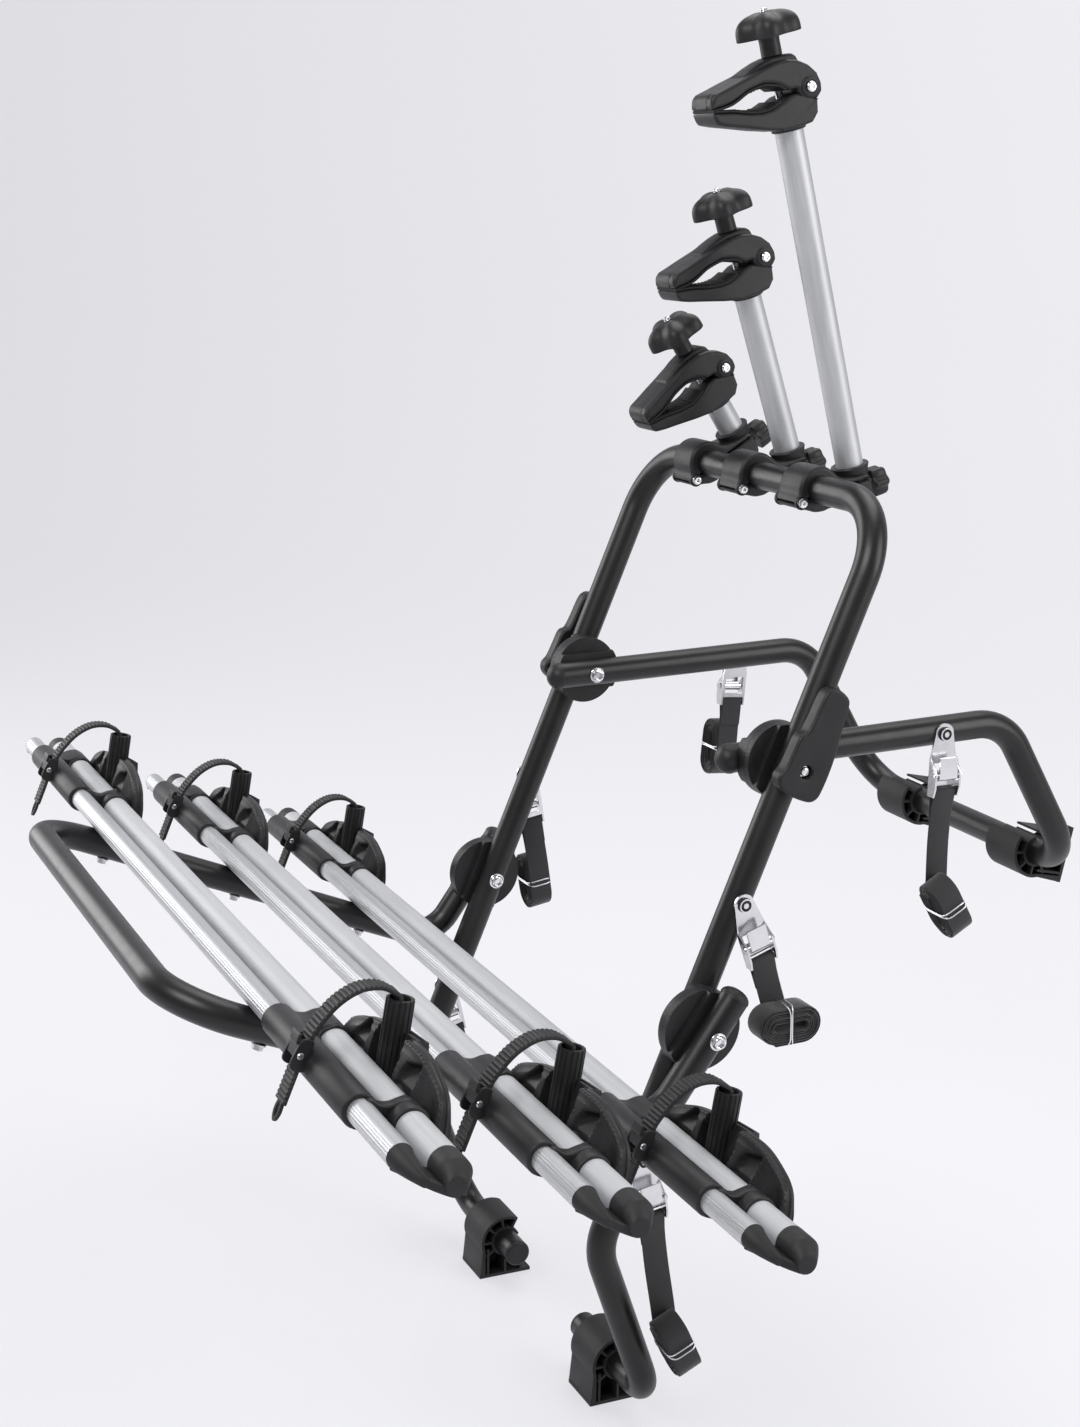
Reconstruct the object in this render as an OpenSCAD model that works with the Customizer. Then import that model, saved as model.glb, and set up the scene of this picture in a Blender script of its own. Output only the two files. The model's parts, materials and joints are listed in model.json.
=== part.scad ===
// Tailgate bike rack for three bikes: steel hoop, folding upper frame and
// platform, three aluminium wheel rails with sliding trays, three clamp arms,
// six cam-buckle straps and four foot pads.
// X runs along the wheel rails, +Y points to the tailgate, +Z is up.

/* [Steel frame] */
// Outer diameter of the frame tube
tube_d = 30; // [28:1:32]
// Wall of the frame tube
tube_wall = 2; // [1.5:0.5:3]
// Hoop width between leg centres
hoop_w = 496; // [470:2:520]
// Hoop length above the lower hinge
hoop_up = 548; // [520:2:600]
// Hoop length below the lower hinge, down to the knee
leg_down = 250; // [230:2:280]
// Length of the foot leg below the knee
foot_leg = 193; // [170:1:210]
// Length of the foot that turns inwards
foot_in = 157; // [145:1:170]
// Lean of the hoop towards the tailgate, in degrees
hoop_tilt = 22; // [18:1:26]
// Slope of the foot leg, in degrees from upright
foot_tilt = 20; // [15:1:25]
// Bend radius at the hoop's top corners
hoop_bend = 75; // [60:1:85]
// Bend radius at the knees
knee_bend = 60; // [45:1:70]
// Bend radius where the foot turns inwards
foot_bend = 38; // [32:1:42]

/* [Upper frame] */
// Upper frame width between arm centres
frame_w = 402; // [396:1:406]
// Height of the upper hinge along the hoop leg
hinge_up = 275; // [260:1:300]
// Length of each upper arm from its hinge to the bend
frame_arm = 293; // [270:1:320]
// Length that the arm stands out past its hinge
frame_stub = 42; // [38:1:48]
// Rise of the arm, in degrees
frame_rise = 2; // [0:1:6]
// Length of the drop legs
frame_drop = 205; // [190:1:230]
// Slope of the drop legs, in degrees below level
drop_slope = 58.5; // [50:0.5:65]
// Bend radius between arm and drop leg
arm_bend = 60; // [50:1:70]
// Bend radius at the crossbar corners
bar_bend = 62; // [50:1:75]

/* [Platform] */
// Platform width between arm centres
platform_w = 586; // [582:1:590]
// Platform length from below the lower hinge to the front bar
platform_len = 580; // [560:2:620]
// Distance of the platform plane below the lower hinge
platform_drop = 100; // [92:1:110]
// Rise of the platform away from the tailgate, in degrees
platform_tilt = 22; // [18:1:26]
// Lean of the hinge stub, in degrees above level
stub_lean = 55; // [50:1:60]
// Length that the stub stands out past its hinge
stub_up = 44; // [42:1:50]
// Bend radius at the front corners
front_bend = 68; // [55:1:80]
// Bend radius under the lower hinge
stub_bend = 45; // [35:1:50]

/* [Hinges] */
// Diameter of the upper hinge discs
upper_disc_d = 78; // [70:1:84]
// Diameter of the lower hinge discs
lower_disc_d = 84; // [76:1:90]
// Gap between two disc halves
disc_gap = 0.4; // [0.3:0.1:0.6]
// Depth of the saddle that a disc lays round its tube
saddle_depth = 7; // [5:1:9]
// Diameter of the hinge bolts
hinge_bolt_d = 8; // [8:1:10]
// Diametral play of a hinge bolt in the tubes
bolt_play = 0.1; // [0.04:0.02:0.16]
// Length of the release lever from the bolt to its tip
lever_len = 88; // [80:1:100]
// Thickness of the release lever
lever_t = 20; // [18:1:24]
// Diameter of the lever's round end
lever_d = 56; // [50:1:60]

/* [Wheel rails] */
// Length of each rail
rail_len = 1290; // [1200:10:1320]
// Distance of the last rail from the foot of the hinge, along the platform
rail_first = 178; // [170:1:190]
// Distance between neighbouring rails
rail_pitch = 165; // [160:1:170]
// Radius of the front tube of a rail
rail_front_r = 11; // [10:0.5:12]
// Radius of the rear tube of a rail
rail_rear_r = 14; // [13:0.5:15]
// Distance between the two tubes of a rail
rail_span = 37; // [36:1:40]
// Wall of the rail
rail_wall = 2; // [1.5:0.5:2.5]
// Length of the end caps outside the rail
cap_len = 34; // [28:1:40]

/* [Wheel trays] */
// Places of the near trays along their rails, from the first rail
near_trays = [456, 467, 474];
// Places of the far trays along their rails, from the first rail
far_trays = [-487, -492, -498];
// Length of a wheel tray
tray_len = 206; // [190:2:220]
// Wall of the tray moulding
tray_wall = 3.6; // [3:0.2:4.2]
// Running gap between tray and rail
tray_gap = 0.35; // [0.3:0.05:0.5]
// Height of the fin above the rail seat
fin_h = 66; // [58:1:72]
// Thickness of the fin
fin_t = 24; // [20:1:28]
// Outer diameter of the fluted wheel post
post_d = 25; // [22:1:28]
// Height of the wheel post
post_h = 60; // [50:1:70]
// Width of the toothed strap
ratchet_w = 15; // [12:1:18]
// Thickness of the toothed strap
ratchet_t = 3.2; // [2.6:0.2:4]

/* [Clamp arms] */
// Places of the three arms along the top bar
arm_places = [-143, -31, 94];
// Tilt of the three arms towards the bikes, in degrees
arm_tilts = [34, 19.5, 15.5];
// Length of the three arm tubes, from the socket to the jaws
arm_lens = [40, 181, 356];
// Outer diameter of an arm tube
arm_d = 29; // [28:0.5:30]
// Wall of an arm tube
arm_wall = 1.8; // [1.5:0.1:2.5]
// Distance of the arm tube behind the top bar
arm_back = 52; // [50:1:56]
// Width of the collar on the top bar
collar_w = 44; // [40:1:48]
// Wall of the collar
collar_wall = 9; // [8:0.5:10]
// Width of the clamp jaws
jaw_w = 44; // [40:1:48]
// Length of the jaws from the pivot to the tip
jaw_len = 112; // [107:1:119]
// Diameter of the clamp screw
screw_d = 8; // [6:1:9]
// Width of the clamp knob across its lobes
knob_w = 67; // [60:1:74]

/* [Feet and straps] */
// Height of the tube centre above a foot pad's face
pad_h = 44; // [40:1:48]
// Length of a foot pad along its tube
pad_len = 54; // [48:1:60]
// Width of a foot pad's face
pad_w = 65; // [60:1:72]
// Distance of the lower pads from the middle
lower_pad_x = 150; // [145:1:160]
// Distance of the upper pads from the middle
upper_pad_x = 112; // [90:1:130]
// Width of the strap webbing
web_w = 27; // [22:1:28]
// Thickness of the strap webbing
web_t = 1.6; // [1.2:0.2:2]
// Place of the hoop straps above the lower hinge
hoop_strap_up = 130; // [120:1:150]
// Place of the foot straps below the lower hinge
foot_strap_down = 146; // [135:1:160]
// Place of the frame straps behind the upper hinge
frame_strap_back = 206; // [195:1:212]

/* [Hidden] */
$fn = 48;
black = [0.09, 0.09, 0.095];
plastic = [0.14, 0.14, 0.15];
alloy = [0.78, 0.79, 0.81];
zinc = [0.72, 0.72, 0.74];
web_black = [0.05, 0.05, 0.055];
// Overrun of a cut past the face that it opens
cut = 1;
// Gap between two pieces that only touch
seat_gap = 0.3;

tube_r = tube_d / 2;
hinge_h = pad_h + foot_leg * cos(foot_tilt) + leg_down * cos(hoop_tilt);
half_hoop = hoop_w / 2;
half_frame = frame_w / 2;
half_platform = platform_w / 2;

// Point in the side plane: along the hoop leg, counted from the lower hinge
function leg_at(s) = [0, s * sin(hoop_tilt), hinge_h + s * cos(hoop_tilt)];
function side(x, p) = [x, p.y, p.z];
knee = leg_at(-leg_down);
heel = [0, knee.y + foot_leg * sin(foot_tilt), pad_h];
upper_hinge = leg_at(hinge_up);
top_bar = leg_at(hoop_up);
frame_start = upper_hinge - frame_stub * [0, cos(frame_rise), sin(frame_rise)];
frame_bend = upper_hinge + frame_arm * [0, cos(frame_rise), sin(frame_rise)];
crossbar = frame_bend + frame_drop * [0, cos(drop_slope), -sin(drop_slope)];
// Platform plane: along_p runs away from the tailgate, above_p stands on it
along_p = [0, -cos(platform_tilt), sin(platform_tilt)];
above_p = [0, sin(platform_tilt), cos(platform_tilt)];
lower_hinge = leg_at(0);
platform_foot = lower_hinge - [0, 0, platform_drop / cos(platform_tilt)];
stub_dir = [0, cos(stub_lean), sin(stub_lean)];
stub_end = lower_hinge + stub_up * stub_dir;
// Distance along the platform at which the stub's line meets it
stub_meet = platform_drop * (tan(platform_tilt) + 1 / tan(platform_tilt + stub_lean));
stub_corner = platform_foot + stub_meet * along_p;
front_bar = platform_foot + platform_len * along_p;

hoop_points = [
    side(-half_hoop + foot_in, heel), side(-half_hoop, heel), side(-half_hoop, knee), side(-half_hoop, top_bar),
    side(half_hoop, top_bar), side(half_hoop, knee), side(half_hoop, heel), side(half_hoop - foot_in, heel)
];
hoop_radii = [0, foot_bend, knee_bend, hoop_bend, hoop_bend, knee_bend, foot_bend, 0];
frame_points = [
    side(-half_frame, frame_start), side(-half_frame, frame_bend), side(-half_frame, crossbar),
    side(half_frame, crossbar), side(half_frame, frame_bend), side(half_frame, frame_start)
];
frame_radii = [0, arm_bend, bar_bend, bar_bend, arm_bend, 0];
platform_points = [
    side(-half_platform, stub_end), side(-half_platform, stub_corner), side(-half_platform, front_bar),
    side(half_platform, front_bar), side(half_platform, stub_corner), side(half_platform, stub_end)
];
platform_radii = [0, stub_bend, front_bend, front_bend, stub_bend, 0];

// Helpers ------------------------------------------------------------------

function unit(v) = v / norm(v);
function turn(a, b, c) = acos(unit(b - a) * unit(c - b));
// Length that a bend takes from the straights beside it
function cut_len(pts, radii, i) = (i <= 0 || i >= len(pts) - 1) ? 0
    : radii[i] * tan(turn(pts[i - 1], pts[i], pts[i + 1]) / 2);

// Children drawn at an origin, on three axes
module placed(o, ex, ey, ez) {
    multmatrix([
        [ex.x, ey.x, ez.x, o.x],
        [ex.y, ey.y, ez.y, o.y],
        [ex.z, ey.z, ez.z, o.z],
        [0, 0, 0, 1]
    ]) children();
}

module ring2(d, wall) {
    difference() {
        circle(d = d);
        circle(d = d - 2 * wall);
    }
}

// A bend is this much fatter than the straights, which reach this far into it
bend_swell = 0.08;
bend_lap = 0.2;

// Round tube along points, with a bend of the given radius at each corner
module tube_path(pts, radii, d, wall) {
    last = len(pts) - 1;
    for (i = [0:last - 1]) {
        dir = unit(pts[i + 1] - pts[i]);
        a = pts[i] + (cut_len(pts, radii, i) - (i > 0 ? bend_lap : 0)) * dir;
        b = pts[i + 1] - (cut_len(pts, radii, i + 1) - (i + 1 < last ? bend_lap : 0)) * dir;
        ey = unit(cross(dir, abs(dir.x) > 0.9 ? [0, 1, 0] : [1, 0, 0]));
        placed(a, cross(ey, dir), ey, dir) linear_extrude(norm(b - a)) ring2(d, wall);
    }
    for (i = [1:last - 1]) {
        dir = unit(pts[i] - pts[i - 1]);
        next = unit(pts[i + 1] - pts[i]);
        inward = unit(next - (dir * next) * dir);
        centre = pts[i] - cut_len(pts, radii, i) * dir + radii[i] * inward;
        placed(centre, -inward, dir, cross(-inward, dir))
            rotate_extrude(angle = turn(pts[i - 1], pts[i], pts[i + 1]))
                translate([radii[i], 0]) ring2(d + 2 * bend_swell, wall + 2 * bend_swell);
    }
}

// Cylinder along X between two places, at a point of the side plane
module x_rod(x1, x2, p, d) {
    translate(side(min(x1, x2), p)) rotate([0, 90, 0]) cylinder(d = d, h = abs(x2 - x1));
}

// Flat outline of two circles joined by their tangents, the second one at a distance along Y
module link2(r1, r2, length) {
    lean = asin((r1 - r2) / length);
    arm = [cos(lean), sin(lean)];
    circle(r = r1);
    translate([0, length]) circle(r = r2);
    polygon([
        r1 * arm, [0, length] + r2 * arm,
        [-r2 * arm.x, length + r2 * arm.y], [-r1 * arm.x, r1 * arm.y]
    ]);
}

// Ring sector between two angles
module arc2(r1, r2, a1, a2) {
    steps = 4;
    reach = 2 * r2;
    intersection() {
        difference() {
            circle(r = r2);
            circle(r = r1);
        }
        polygon(concat([[0, 0]], [for (i = [0:steps]) let (a = a1 + (a2 - a1) * i / steps) reach * [cos(a), sin(a)]]));
    }
}

// Outline of a band of even thickness along flat points
function band(pts, t) = let (
    n = len(pts),
    dirs = [for (i = [0:n - 1]) unit(pts[min(i + 1, n - 1)] - pts[max(i - 1, 0)])]
) concat(
    [for (i = [0:n - 1]) pts[i] + t / 2 * [-dirs[i].y, dirs[i].x]],
    [for (i = [n - 1:-1:0]) pts[i] - t / 2 * [-dirs[i].y, dirs[i].x]]
);

// Extrusion along X, centred, of an outline drawn in Y and Z
module x_plate(w) {
    rotate([90, 0, 90]) linear_extrude(w, center = true) children();
}

// Steel tubes --------------------------------------------------------------

strap_bolt_d = 6;
hoop_straps_at = [hoop_strap_up, -foot_strap_down];
frame_strap_at = upper_hinge + frame_strap_back * [0, cos(frame_rise), sin(frame_rise)];

module hoop_tube() {
    color(black) difference() {
        tube_path(hoop_points, hoop_radii, tube_d, tube_wall);
        for (s = [-1, 1]) {
            for (p = [lower_hinge, upper_hinge])
                x_rod(s * (half_hoop - tube_r - cut), s * (half_hoop + tube_r + cut), p, hinge_bolt_d + bolt_play);
            for (up = hoop_straps_at)
                x_rod(s * half_hoop, s * (half_hoop + tube_r + cut), leg_at(up), strap_bolt_d + bolt_play);
        }
    }
}

module upper_frame_tube() {
    color(black) difference() {
        tube_path(frame_points, frame_radii, tube_d, tube_wall);
        for (s = [-1, 1]) {
            x_rod(s * (half_frame - tube_r - cut), s * (half_frame + tube_r + cut), upper_hinge, hinge_bolt_d + bolt_play);
            x_rod(s * half_frame, s * (half_frame + tube_r + cut), frame_strap_at, strap_bolt_d + bolt_play);
        }
    }
}

// Places of the rails along the platform, the first one at the front bar
rails_u = [for (i = [2:-1:0]) rail_first + i * rail_pitch];
rail_bolt_d = 6;

module platform_tube() {
    color(black) difference() {
        tube_path(platform_points, platform_radii, tube_d, tube_wall);
        for (s = [-1, 1]) {
            x_rod(s * (half_platform - tube_r - cut), s * (half_platform + tube_r + cut), lower_hinge,
                hinge_bolt_d + bolt_play);
            for (u = rails_u) rail_frame(u)
                translate([s * half_platform, rail_span / 2, -tube_r - cut])
                    cylinder(d = rail_bolt_d + bolt_play, h = tube_d + 2 * cut);
        }
    }
}

// Plug in an open tube end, drawn along Z with the tube's end at zero
plug_depth = 14;
plug_head = 3;
plug_dome = 2;

module tube_plug() {
    bore = tube_d - 2 * tube_wall;
    translate([0, 0, -plug_depth]) cylinder(d = bore, h = plug_depth);
    cylinder(d = tube_d, h = plug_head);
    translate([0, 0, plug_head]) cylinder(d1 = tube_d, d2 = tube_d - 2 * plug_dome, h = plug_dome);
}

module hoop_end_caps() {
    color(plastic) for (s = [-1, 1])
        translate(side(s * (half_hoop - foot_in), heel)) rotate([0, -s * 90, 0]) tube_plug();
}

// Foot pads ----------------------------------------------------------------

pad_ring_t = 3;
pad_shell_t = 3.5;
pad_shell_r = 31;
pad_base_t = 4;
pad_rib_t = 2.6;
pad_web_t = 4;
pad_ribs = [62, 100, 140, 180, 214];
// Places of the upright ribs under the tube, as shares of the pad's width
pad_feet_shares = [-0.34, 0, 0.31];

// Section of a pad: Y across, Z up from its face, the tube at pad_h
module pad_shell() {
    half = pad_w / 2;
    translate([0, pad_h]) {
        arc2(tube_r, tube_r + pad_ring_t, 20, 330);
        arc2(pad_shell_r - pad_shell_t, pad_shell_r, 60, 200);
        for (a = pad_ribs) rotate(a)
            translate([tube_r, -pad_rib_t / 2]) square([pad_shell_r - tube_r - pad_shell_t / 2, pad_rib_t]);
    }
    translate([-half, 0]) square([pad_w, pad_base_t]);
    start = [0, pad_h] + pad_shell_r * [cos(198), sin(198)];
    polygon([start, [-half, 0], [-half + 2 * pad_shell_t, 0], start + [pad_shell_t, 0]]);
    difference() {
        for (share = pad_feet_shares) translate([share * pad_w - pad_rib_t / 2, 0]) square([pad_rib_t, pad_h]);
        translate([0, pad_h]) circle(r = tube_r);
        translate([-half, pad_h - tube_r / 2]) square([pad_w, pad_h]);
    }
}

module pad_web() {
    half = pad_w / 2;
    low = [0, pad_h] + pad_shell_r * [cos(198), sin(198)];
    difference() {
        union() {
            translate([0, pad_h]) arc2(tube_r, pad_shell_r, 60, 200);
            polygon([low, [-half, 0], [half, 0], [tube_r, pad_h - tube_r], [0, pad_h]]);
        }
        translate([0, pad_h]) circle(r = tube_r);
    }
}

module foot_pad() {
    x_plate(pad_len) pad_shell();
    x_plate(pad_web_t) pad_web();
}

module lower_foot_pads() {
    color(plastic) for (s = [-1, 1])
        translate(side(s * lower_pad_x, [0, heel.y, 0])) foot_pad();
}

// Turn of the upper pads, so that their faces point at the tailgate
upper_pad_turn = 78;

module upper_foot_pads() {
    color(plastic) for (s = [-1, 1])
        translate(side(s * upper_pad_x, crossbar)) rotate([upper_pad_turn, 0, 0])
            translate([0, 0, -pad_h]) foot_pad();
}

// Hinges -------------------------------------------------------------------

hinge_head_d = 14;
hinge_head_h = 5;
washer_t = 1.6;
upper_face = half_hoop - tube_r;
lower_face = half_hoop + tube_r;
upper_gap = upper_face - (half_frame + tube_r);
lower_gap = half_platform - tube_r - lower_face;

// Disc on a tube's flank. It fills x1 to x2 and lays a saddle of saddle_depth beyond x1
module hinge_disc(x1, x2, p, d, tube_x, axis, s) {
    out = x2 > x1 ? 1 : -1;
    saddle_w = tube_d + 2 * saddle_depth;
    difference() {
        union() {
            x_rod(s * x1, s * x2, p, d);
            intersection() {
                x_rod(s * (x1 - out * saddle_depth), s * x1, p, d);
                translate(side(s * tube_x, p))
                    placed([0, 0, 0], [1, 0, 0], cross(axis, [1, 0, 0]), axis)
                        translate([-d, -saddle_w / 2, -d / 2]) cube([2 * d, saddle_w, d]);
            }
        }
        translate(side(s * tube_x, p)) placed([0, 0, 0], [1, 0, 0], cross(axis, [1, 0, 0]), axis)
            translate([0, 0, -d]) cylinder(d = tube_d, h = 2 * d);
        x_rod(s * (x1 - d), s * (x2 + d), p, hinge_bolt_d + bolt_play);
    }
}

leg_dir = [0, sin(hoop_tilt), cos(hoop_tilt)];
arm_dir = [0, cos(frame_rise), sin(frame_rise)];

module hoop_hinge_discs() {
    color(plastic) for (s = [-1, 1]) {
        hinge_disc(upper_face, upper_face - (upper_gap - disc_gap) / 2, upper_hinge, upper_disc_d,
            half_hoop, leg_dir, s);
        hinge_disc(lower_face, lower_face + (lower_gap - disc_gap) / 2, lower_hinge, lower_disc_d,
            half_hoop, leg_dir, s);
    }
}

module upper_frame_discs() {
    color(plastic) for (s = [-1, 1]) {
        hinge_disc(half_frame + tube_r, half_frame + tube_r + (upper_gap - disc_gap) / 2, upper_hinge,
            upper_disc_d, half_frame, arm_dir, s);
        placed(side(s * half_frame, frame_start), [1, 0, 0], cross(-arm_dir, [1, 0, 0]), -arm_dir) tube_plug();
    }
}

module platform_discs() {
    color(plastic) for (s = [-1, 1]) {
        hinge_disc(half_platform - tube_r, half_platform - tube_r - (lower_gap - disc_gap) / 2, lower_hinge,
            lower_disc_d, half_platform, stub_dir, s);
        placed(side(s * half_platform, stub_end), [1, 0, 0], cross(stub_dir, [1, 0, 0]), stub_dir) tube_plug();
    }
}

// Bolt along X with a hexagon head at x1 and a lock nut at x2
module hinge_bolt(x1, x2, p) {
    out = x2 > x1 ? 1 : -1;
    x_rod(x1, x2, p, hinge_bolt_d);
    x_rod(x1, x1 - out * washer_t, p, hinge_head_d + 2 * washer_t);
    x_rod(x2, x2 + out * washer_t, p, hinge_head_d + 2 * washer_t);
    for (x = [x1 - out * washer_t, x2 + out * washer_t])
        translate(side(x, p)) rotate([0, (x == x1 - out * washer_t ? -1 : 1) * out * 90, 0])
            cylinder(d = hinge_head_d, h = hinge_head_h, $fn = 6);
}

lever_seat = lower_face + seat_gap;

module hinge_bolts() {
    color(zinc) for (s = [-1, 1]) {
        hinge_bolt(s * (half_frame - tube_r - seat_gap), s * (lever_seat + lever_t - lever_recess + seat_gap), upper_hinge);
        hinge_bolt(s * (half_platform + tube_r + seat_gap), s * upper_face, lower_hinge);
    }
}

lever_recess = 7;
lever_tip_r = 11;
lever_handle_t = 12;
lever_shell = 3;

// Release lever in the plane of the hoop leg, drawn with its pivot at the origin and X outwards
module release_lever(s) {
    r = lever_d / 2;
    recess_d = hinge_head_d + 4 * washer_t;
    color(plastic) placed(side(s * lever_seat, upper_hinge), [s, 0, 0], cross(leg_dir, [s, 0, 0]), leg_dir)
        difference() {
            union() {
                rotate([90, 0, 90]) linear_extrude(lever_t) circle(r = r);
                rotate([90, 0, 90]) linear_extrude(lever_handle_t) link2(r, lever_tip_r, lever_len - lever_tip_r);
                translate([lever_t, 0, 0]) rotate([0, 90, 0])
                    cylinder(d1 = lever_d, d2 = lever_d - 2 * lever_shell, h = lever_shell);
            }
            rotate([0, 90, 0]) translate([0, 0, -cut]) cylinder(d = hinge_bolt_d + bolt_play, h = lever_t + cut);
            translate([lever_t - lever_recess, 0, 0]) rotate([0, 90, 0])
                cylinder(d = recess_d, h = lever_t);
            translate([lever_handle_t - lever_shell, 0, 0]) rotate([90, 0, 90])
                linear_extrude(lever_shell + cut) difference() {
                    link2(r - lever_shell, lever_tip_r - lever_shell, lever_len - lever_tip_r);
                    circle(r = r + lever_shell);
                }
        }
}

// Wheel rails --------------------------------------------------------------

module rail_frame(u) {
    translate(side(0, platform_foot)) rotate([-platform_tilt, 0, 0]) translate([0, -u, 0]) children();
}

// Heights of the two tube centres of a rail above the platform's centre line
front_n = tube_r + rail_front_r;
rear_n = tube_r + rail_rear_r;
rail_floor_t = 4;
rail_end = rail_len / 2;

// Outline of a rail, grown by a gap: Y towards the tailgate, Z above the platform
module rail_outline(grow) {
    translate([0, front_n]) circle(r = rail_front_r + grow);
    translate([rail_span, rear_n]) circle(r = rail_rear_r + grow);
    translate([0, tube_r - grow]) square([rail_span, rail_floor_t + 2 * grow]);
}

rail_rib_t = 1.6;
groove_d = 1.2;
groove_angles = [150, 166, 182, 198];

module rail_section() {
    difference() {
        rail_outline(0);
        translate([0, front_n]) circle(r = rail_front_r - rail_wall);
        translate([rail_span, rear_n]) circle(r = rail_rear_r - rail_wall);
        for (a = groove_angles) translate([0, front_n] + rail_front_r * [cos(a), sin(a)])
            circle(d = groove_d, $fn = 12);
    }
}

module rail(i) {
    color(alloy) rail_frame(rails_u[i]) difference() {
        x_plate(rail_len) rail_section();
        for (s = [-1, 1]) translate([s * half_platform, rail_span / 2, tube_r - cut])
            cylinder(d = rail_bolt_d + bolt_play, h = rail_floor_t + 2 * cut);
    }
}

cap_sleeve = 6;
cap_t = 1.5;
cap_plug = 16;

// End cap over both tubes of a rail, drawn outwards along Z: X towards the tailgate, Y above the platform
module rail_end_cap() {
    tip_r = rail_rear_r / 2;
    shoulder = cap_len - cap_sleeve - tip_r;
    linear_extrude(cap_sleeve) rail_outline(cap_t);
    translate([rail_span, rear_n, cap_sleeve]) {
        cylinder(r = rail_rear_r + cap_t, h = shoulder);
        translate([0, 0, shoulder]) cylinder(r1 = rail_rear_r + cap_t, r2 = tip_r, h = tip_r);
    }
    translate([0, front_n, cap_sleeve])
        cylinder(r1 = rail_front_r + cap_t, r2 = tip_r, h = shoulder);
    translate([0, tube_r, cap_sleeve]) rotate([90, 0, 90]) linear_extrude(rail_span)
        polygon([[0, 0], [rail_floor_t, 0], [rail_floor_t, shoulder / 2], [0, shoulder]]);
    translate([0, front_n, -cap_plug]) cylinder(r = rail_front_r - rail_wall, h = cap_plug);
    translate([rail_span, rear_n, -cap_plug]) cylinder(r = rail_rear_r - rail_wall, h = cap_plug);
}

module rail_end_caps() {
    color(plastic) for (u = rails_u) rail_frame(u) for (s = [0, 1])
        mirror([s, 0, 0]) translate([rail_end, 0, 0]) rotate([90, 0, 90]) rail_end_cap();
}

rail_nut_h = 6;
rail_nut_d = 11;

module rail_bolts() {
    floor_n = tube_r + rail_floor_t;
    color(zinc) for (u = rails_u) rail_frame(u) for (s = [-1, 1])
        translate([s * half_platform, rail_span / 2, 0]) {
            translate([0, 0, -tube_r - rail_nut_h]) cylinder(d = rail_bolt_d, h = tube_d + rail_floor_t + rail_nut_h);
            translate([0, 0, floor_n]) cylinder(d1 = rail_nut_d, d2 = rail_bolt_d, h = rail_floor_t);
            translate([0, 0, -tube_r - washer_t]) cylinder(d = rail_nut_d + 2 * washer_t, h = washer_t);
            translate([0, 0, -tube_r - rail_nut_h]) cylinder(d = rail_nut_d, h = rail_nut_h, $fn = 6);
        }
}

// Strap buckles and straps --------------------------------------------------

buckle_plate_t = 2;
buckle_eye_r = 11;
buckle_top = 26;
buckle_foot = 56;
buckle_end = 66;
buckle_w = 32;
buckle_ear_t = 2;
buckle_ear_h = 13;
buckle_bar_d = 5;
buckle_bar_at = [5, -61];
cam_axle_at = [8, -43];
cam_axle_d = 5;
strap_head_d = 14;
strap_head_h = 4;
rivet_h = 1.5;

// Swing of each strap about its bolt towards the tailgate, in degrees, left and right
hoop_swings = [10, 19.5];
foot_swings = [14, 9.6];
frame_swings = [-4, 0];

// Strap frame: X outwards from the tube's flank, Y along the strap's width, Z up
module strap_frame(x, p, out, swings) {
    placed(side(out * (x + tube_r), p), [out, 0, 0], [0, out, 0], [0, 0, 1])
        rotate([out * swings[out < 0 ? 0 : 1], 0, 0]) children();
}

module y_rod(at, d, w) {
    translate([at.x, w / 2, at.y]) rotate([90, 0, 0]) cylinder(d = d, h = w);
}

module strap_buckle() {
    half = buckle_w / 2;
    window = half - 2 * buckle_ear_t;
    difference() {
        rotate([90, 0, 90]) linear_extrude(buckle_plate_t) difference() {
            union() {
                circle(r = buckle_eye_r);
                polygon([
                    [-buckle_eye_r, 0], [buckle_eye_r, 0], [half, -buckle_top],
                    [half, -buckle_foot], [-half, -buckle_foot], [-half, -buckle_top]
                ]);
            }
            polygon([
                [-window, -buckle_top - buckle_bar_d], [window, -buckle_top - buckle_bar_d],
                [window, -buckle_foot + buckle_bar_d], [-window, -buckle_foot + buckle_bar_d]
            ]);
        }
        rotate([0, 90, 0]) translate([0, 0, -cut])
            cylinder(d = strap_bolt_d + bolt_play, h = buckle_plate_t + 2 * cut);
    }
    for (s = [-1, 1]) translate([0, s * (half - buckle_ear_t / 2), 0]) rotate([90, 0, 0])
        linear_extrude(buckle_ear_t, center = true) polygon([
            [0, -buckle_top], [buckle_plate_t, -buckle_top], [buckle_ear_h, -buckle_top - buckle_ear_h],
            [buckle_ear_h, -buckle_foot], [buckle_bar_at.x + buckle_bar_d, -buckle_end], [0, -buckle_end]
        ]);
    y_rod(buckle_bar_at, buckle_bar_d, buckle_w);
    y_rod(cam_axle_at, cam_axle_d, buckle_w + 2 * rivet_h);
    for (s = [-1, 1]) translate([0, s * (half + rivet_h / 2), 0]) y_rod(cam_axle_at, cam_axle_d + 2 * rivet_h, rivet_h);
    translate([-tube_wall, 0, 0]) rotate([0, 90, 0]) cylinder(d = strap_bolt_d, h = tube_wall + buckle_plate_t);
    translate([buckle_plate_t, 0, 0]) rotate([0, 90, 0]) cylinder(d = strap_head_d, h = strap_head_h);
}

cam_play = 0.1;
cam_r = 5.6;
cam_w = 22;
cam_tab_t = 2.4;
cam_tab_len = 20;

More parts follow.
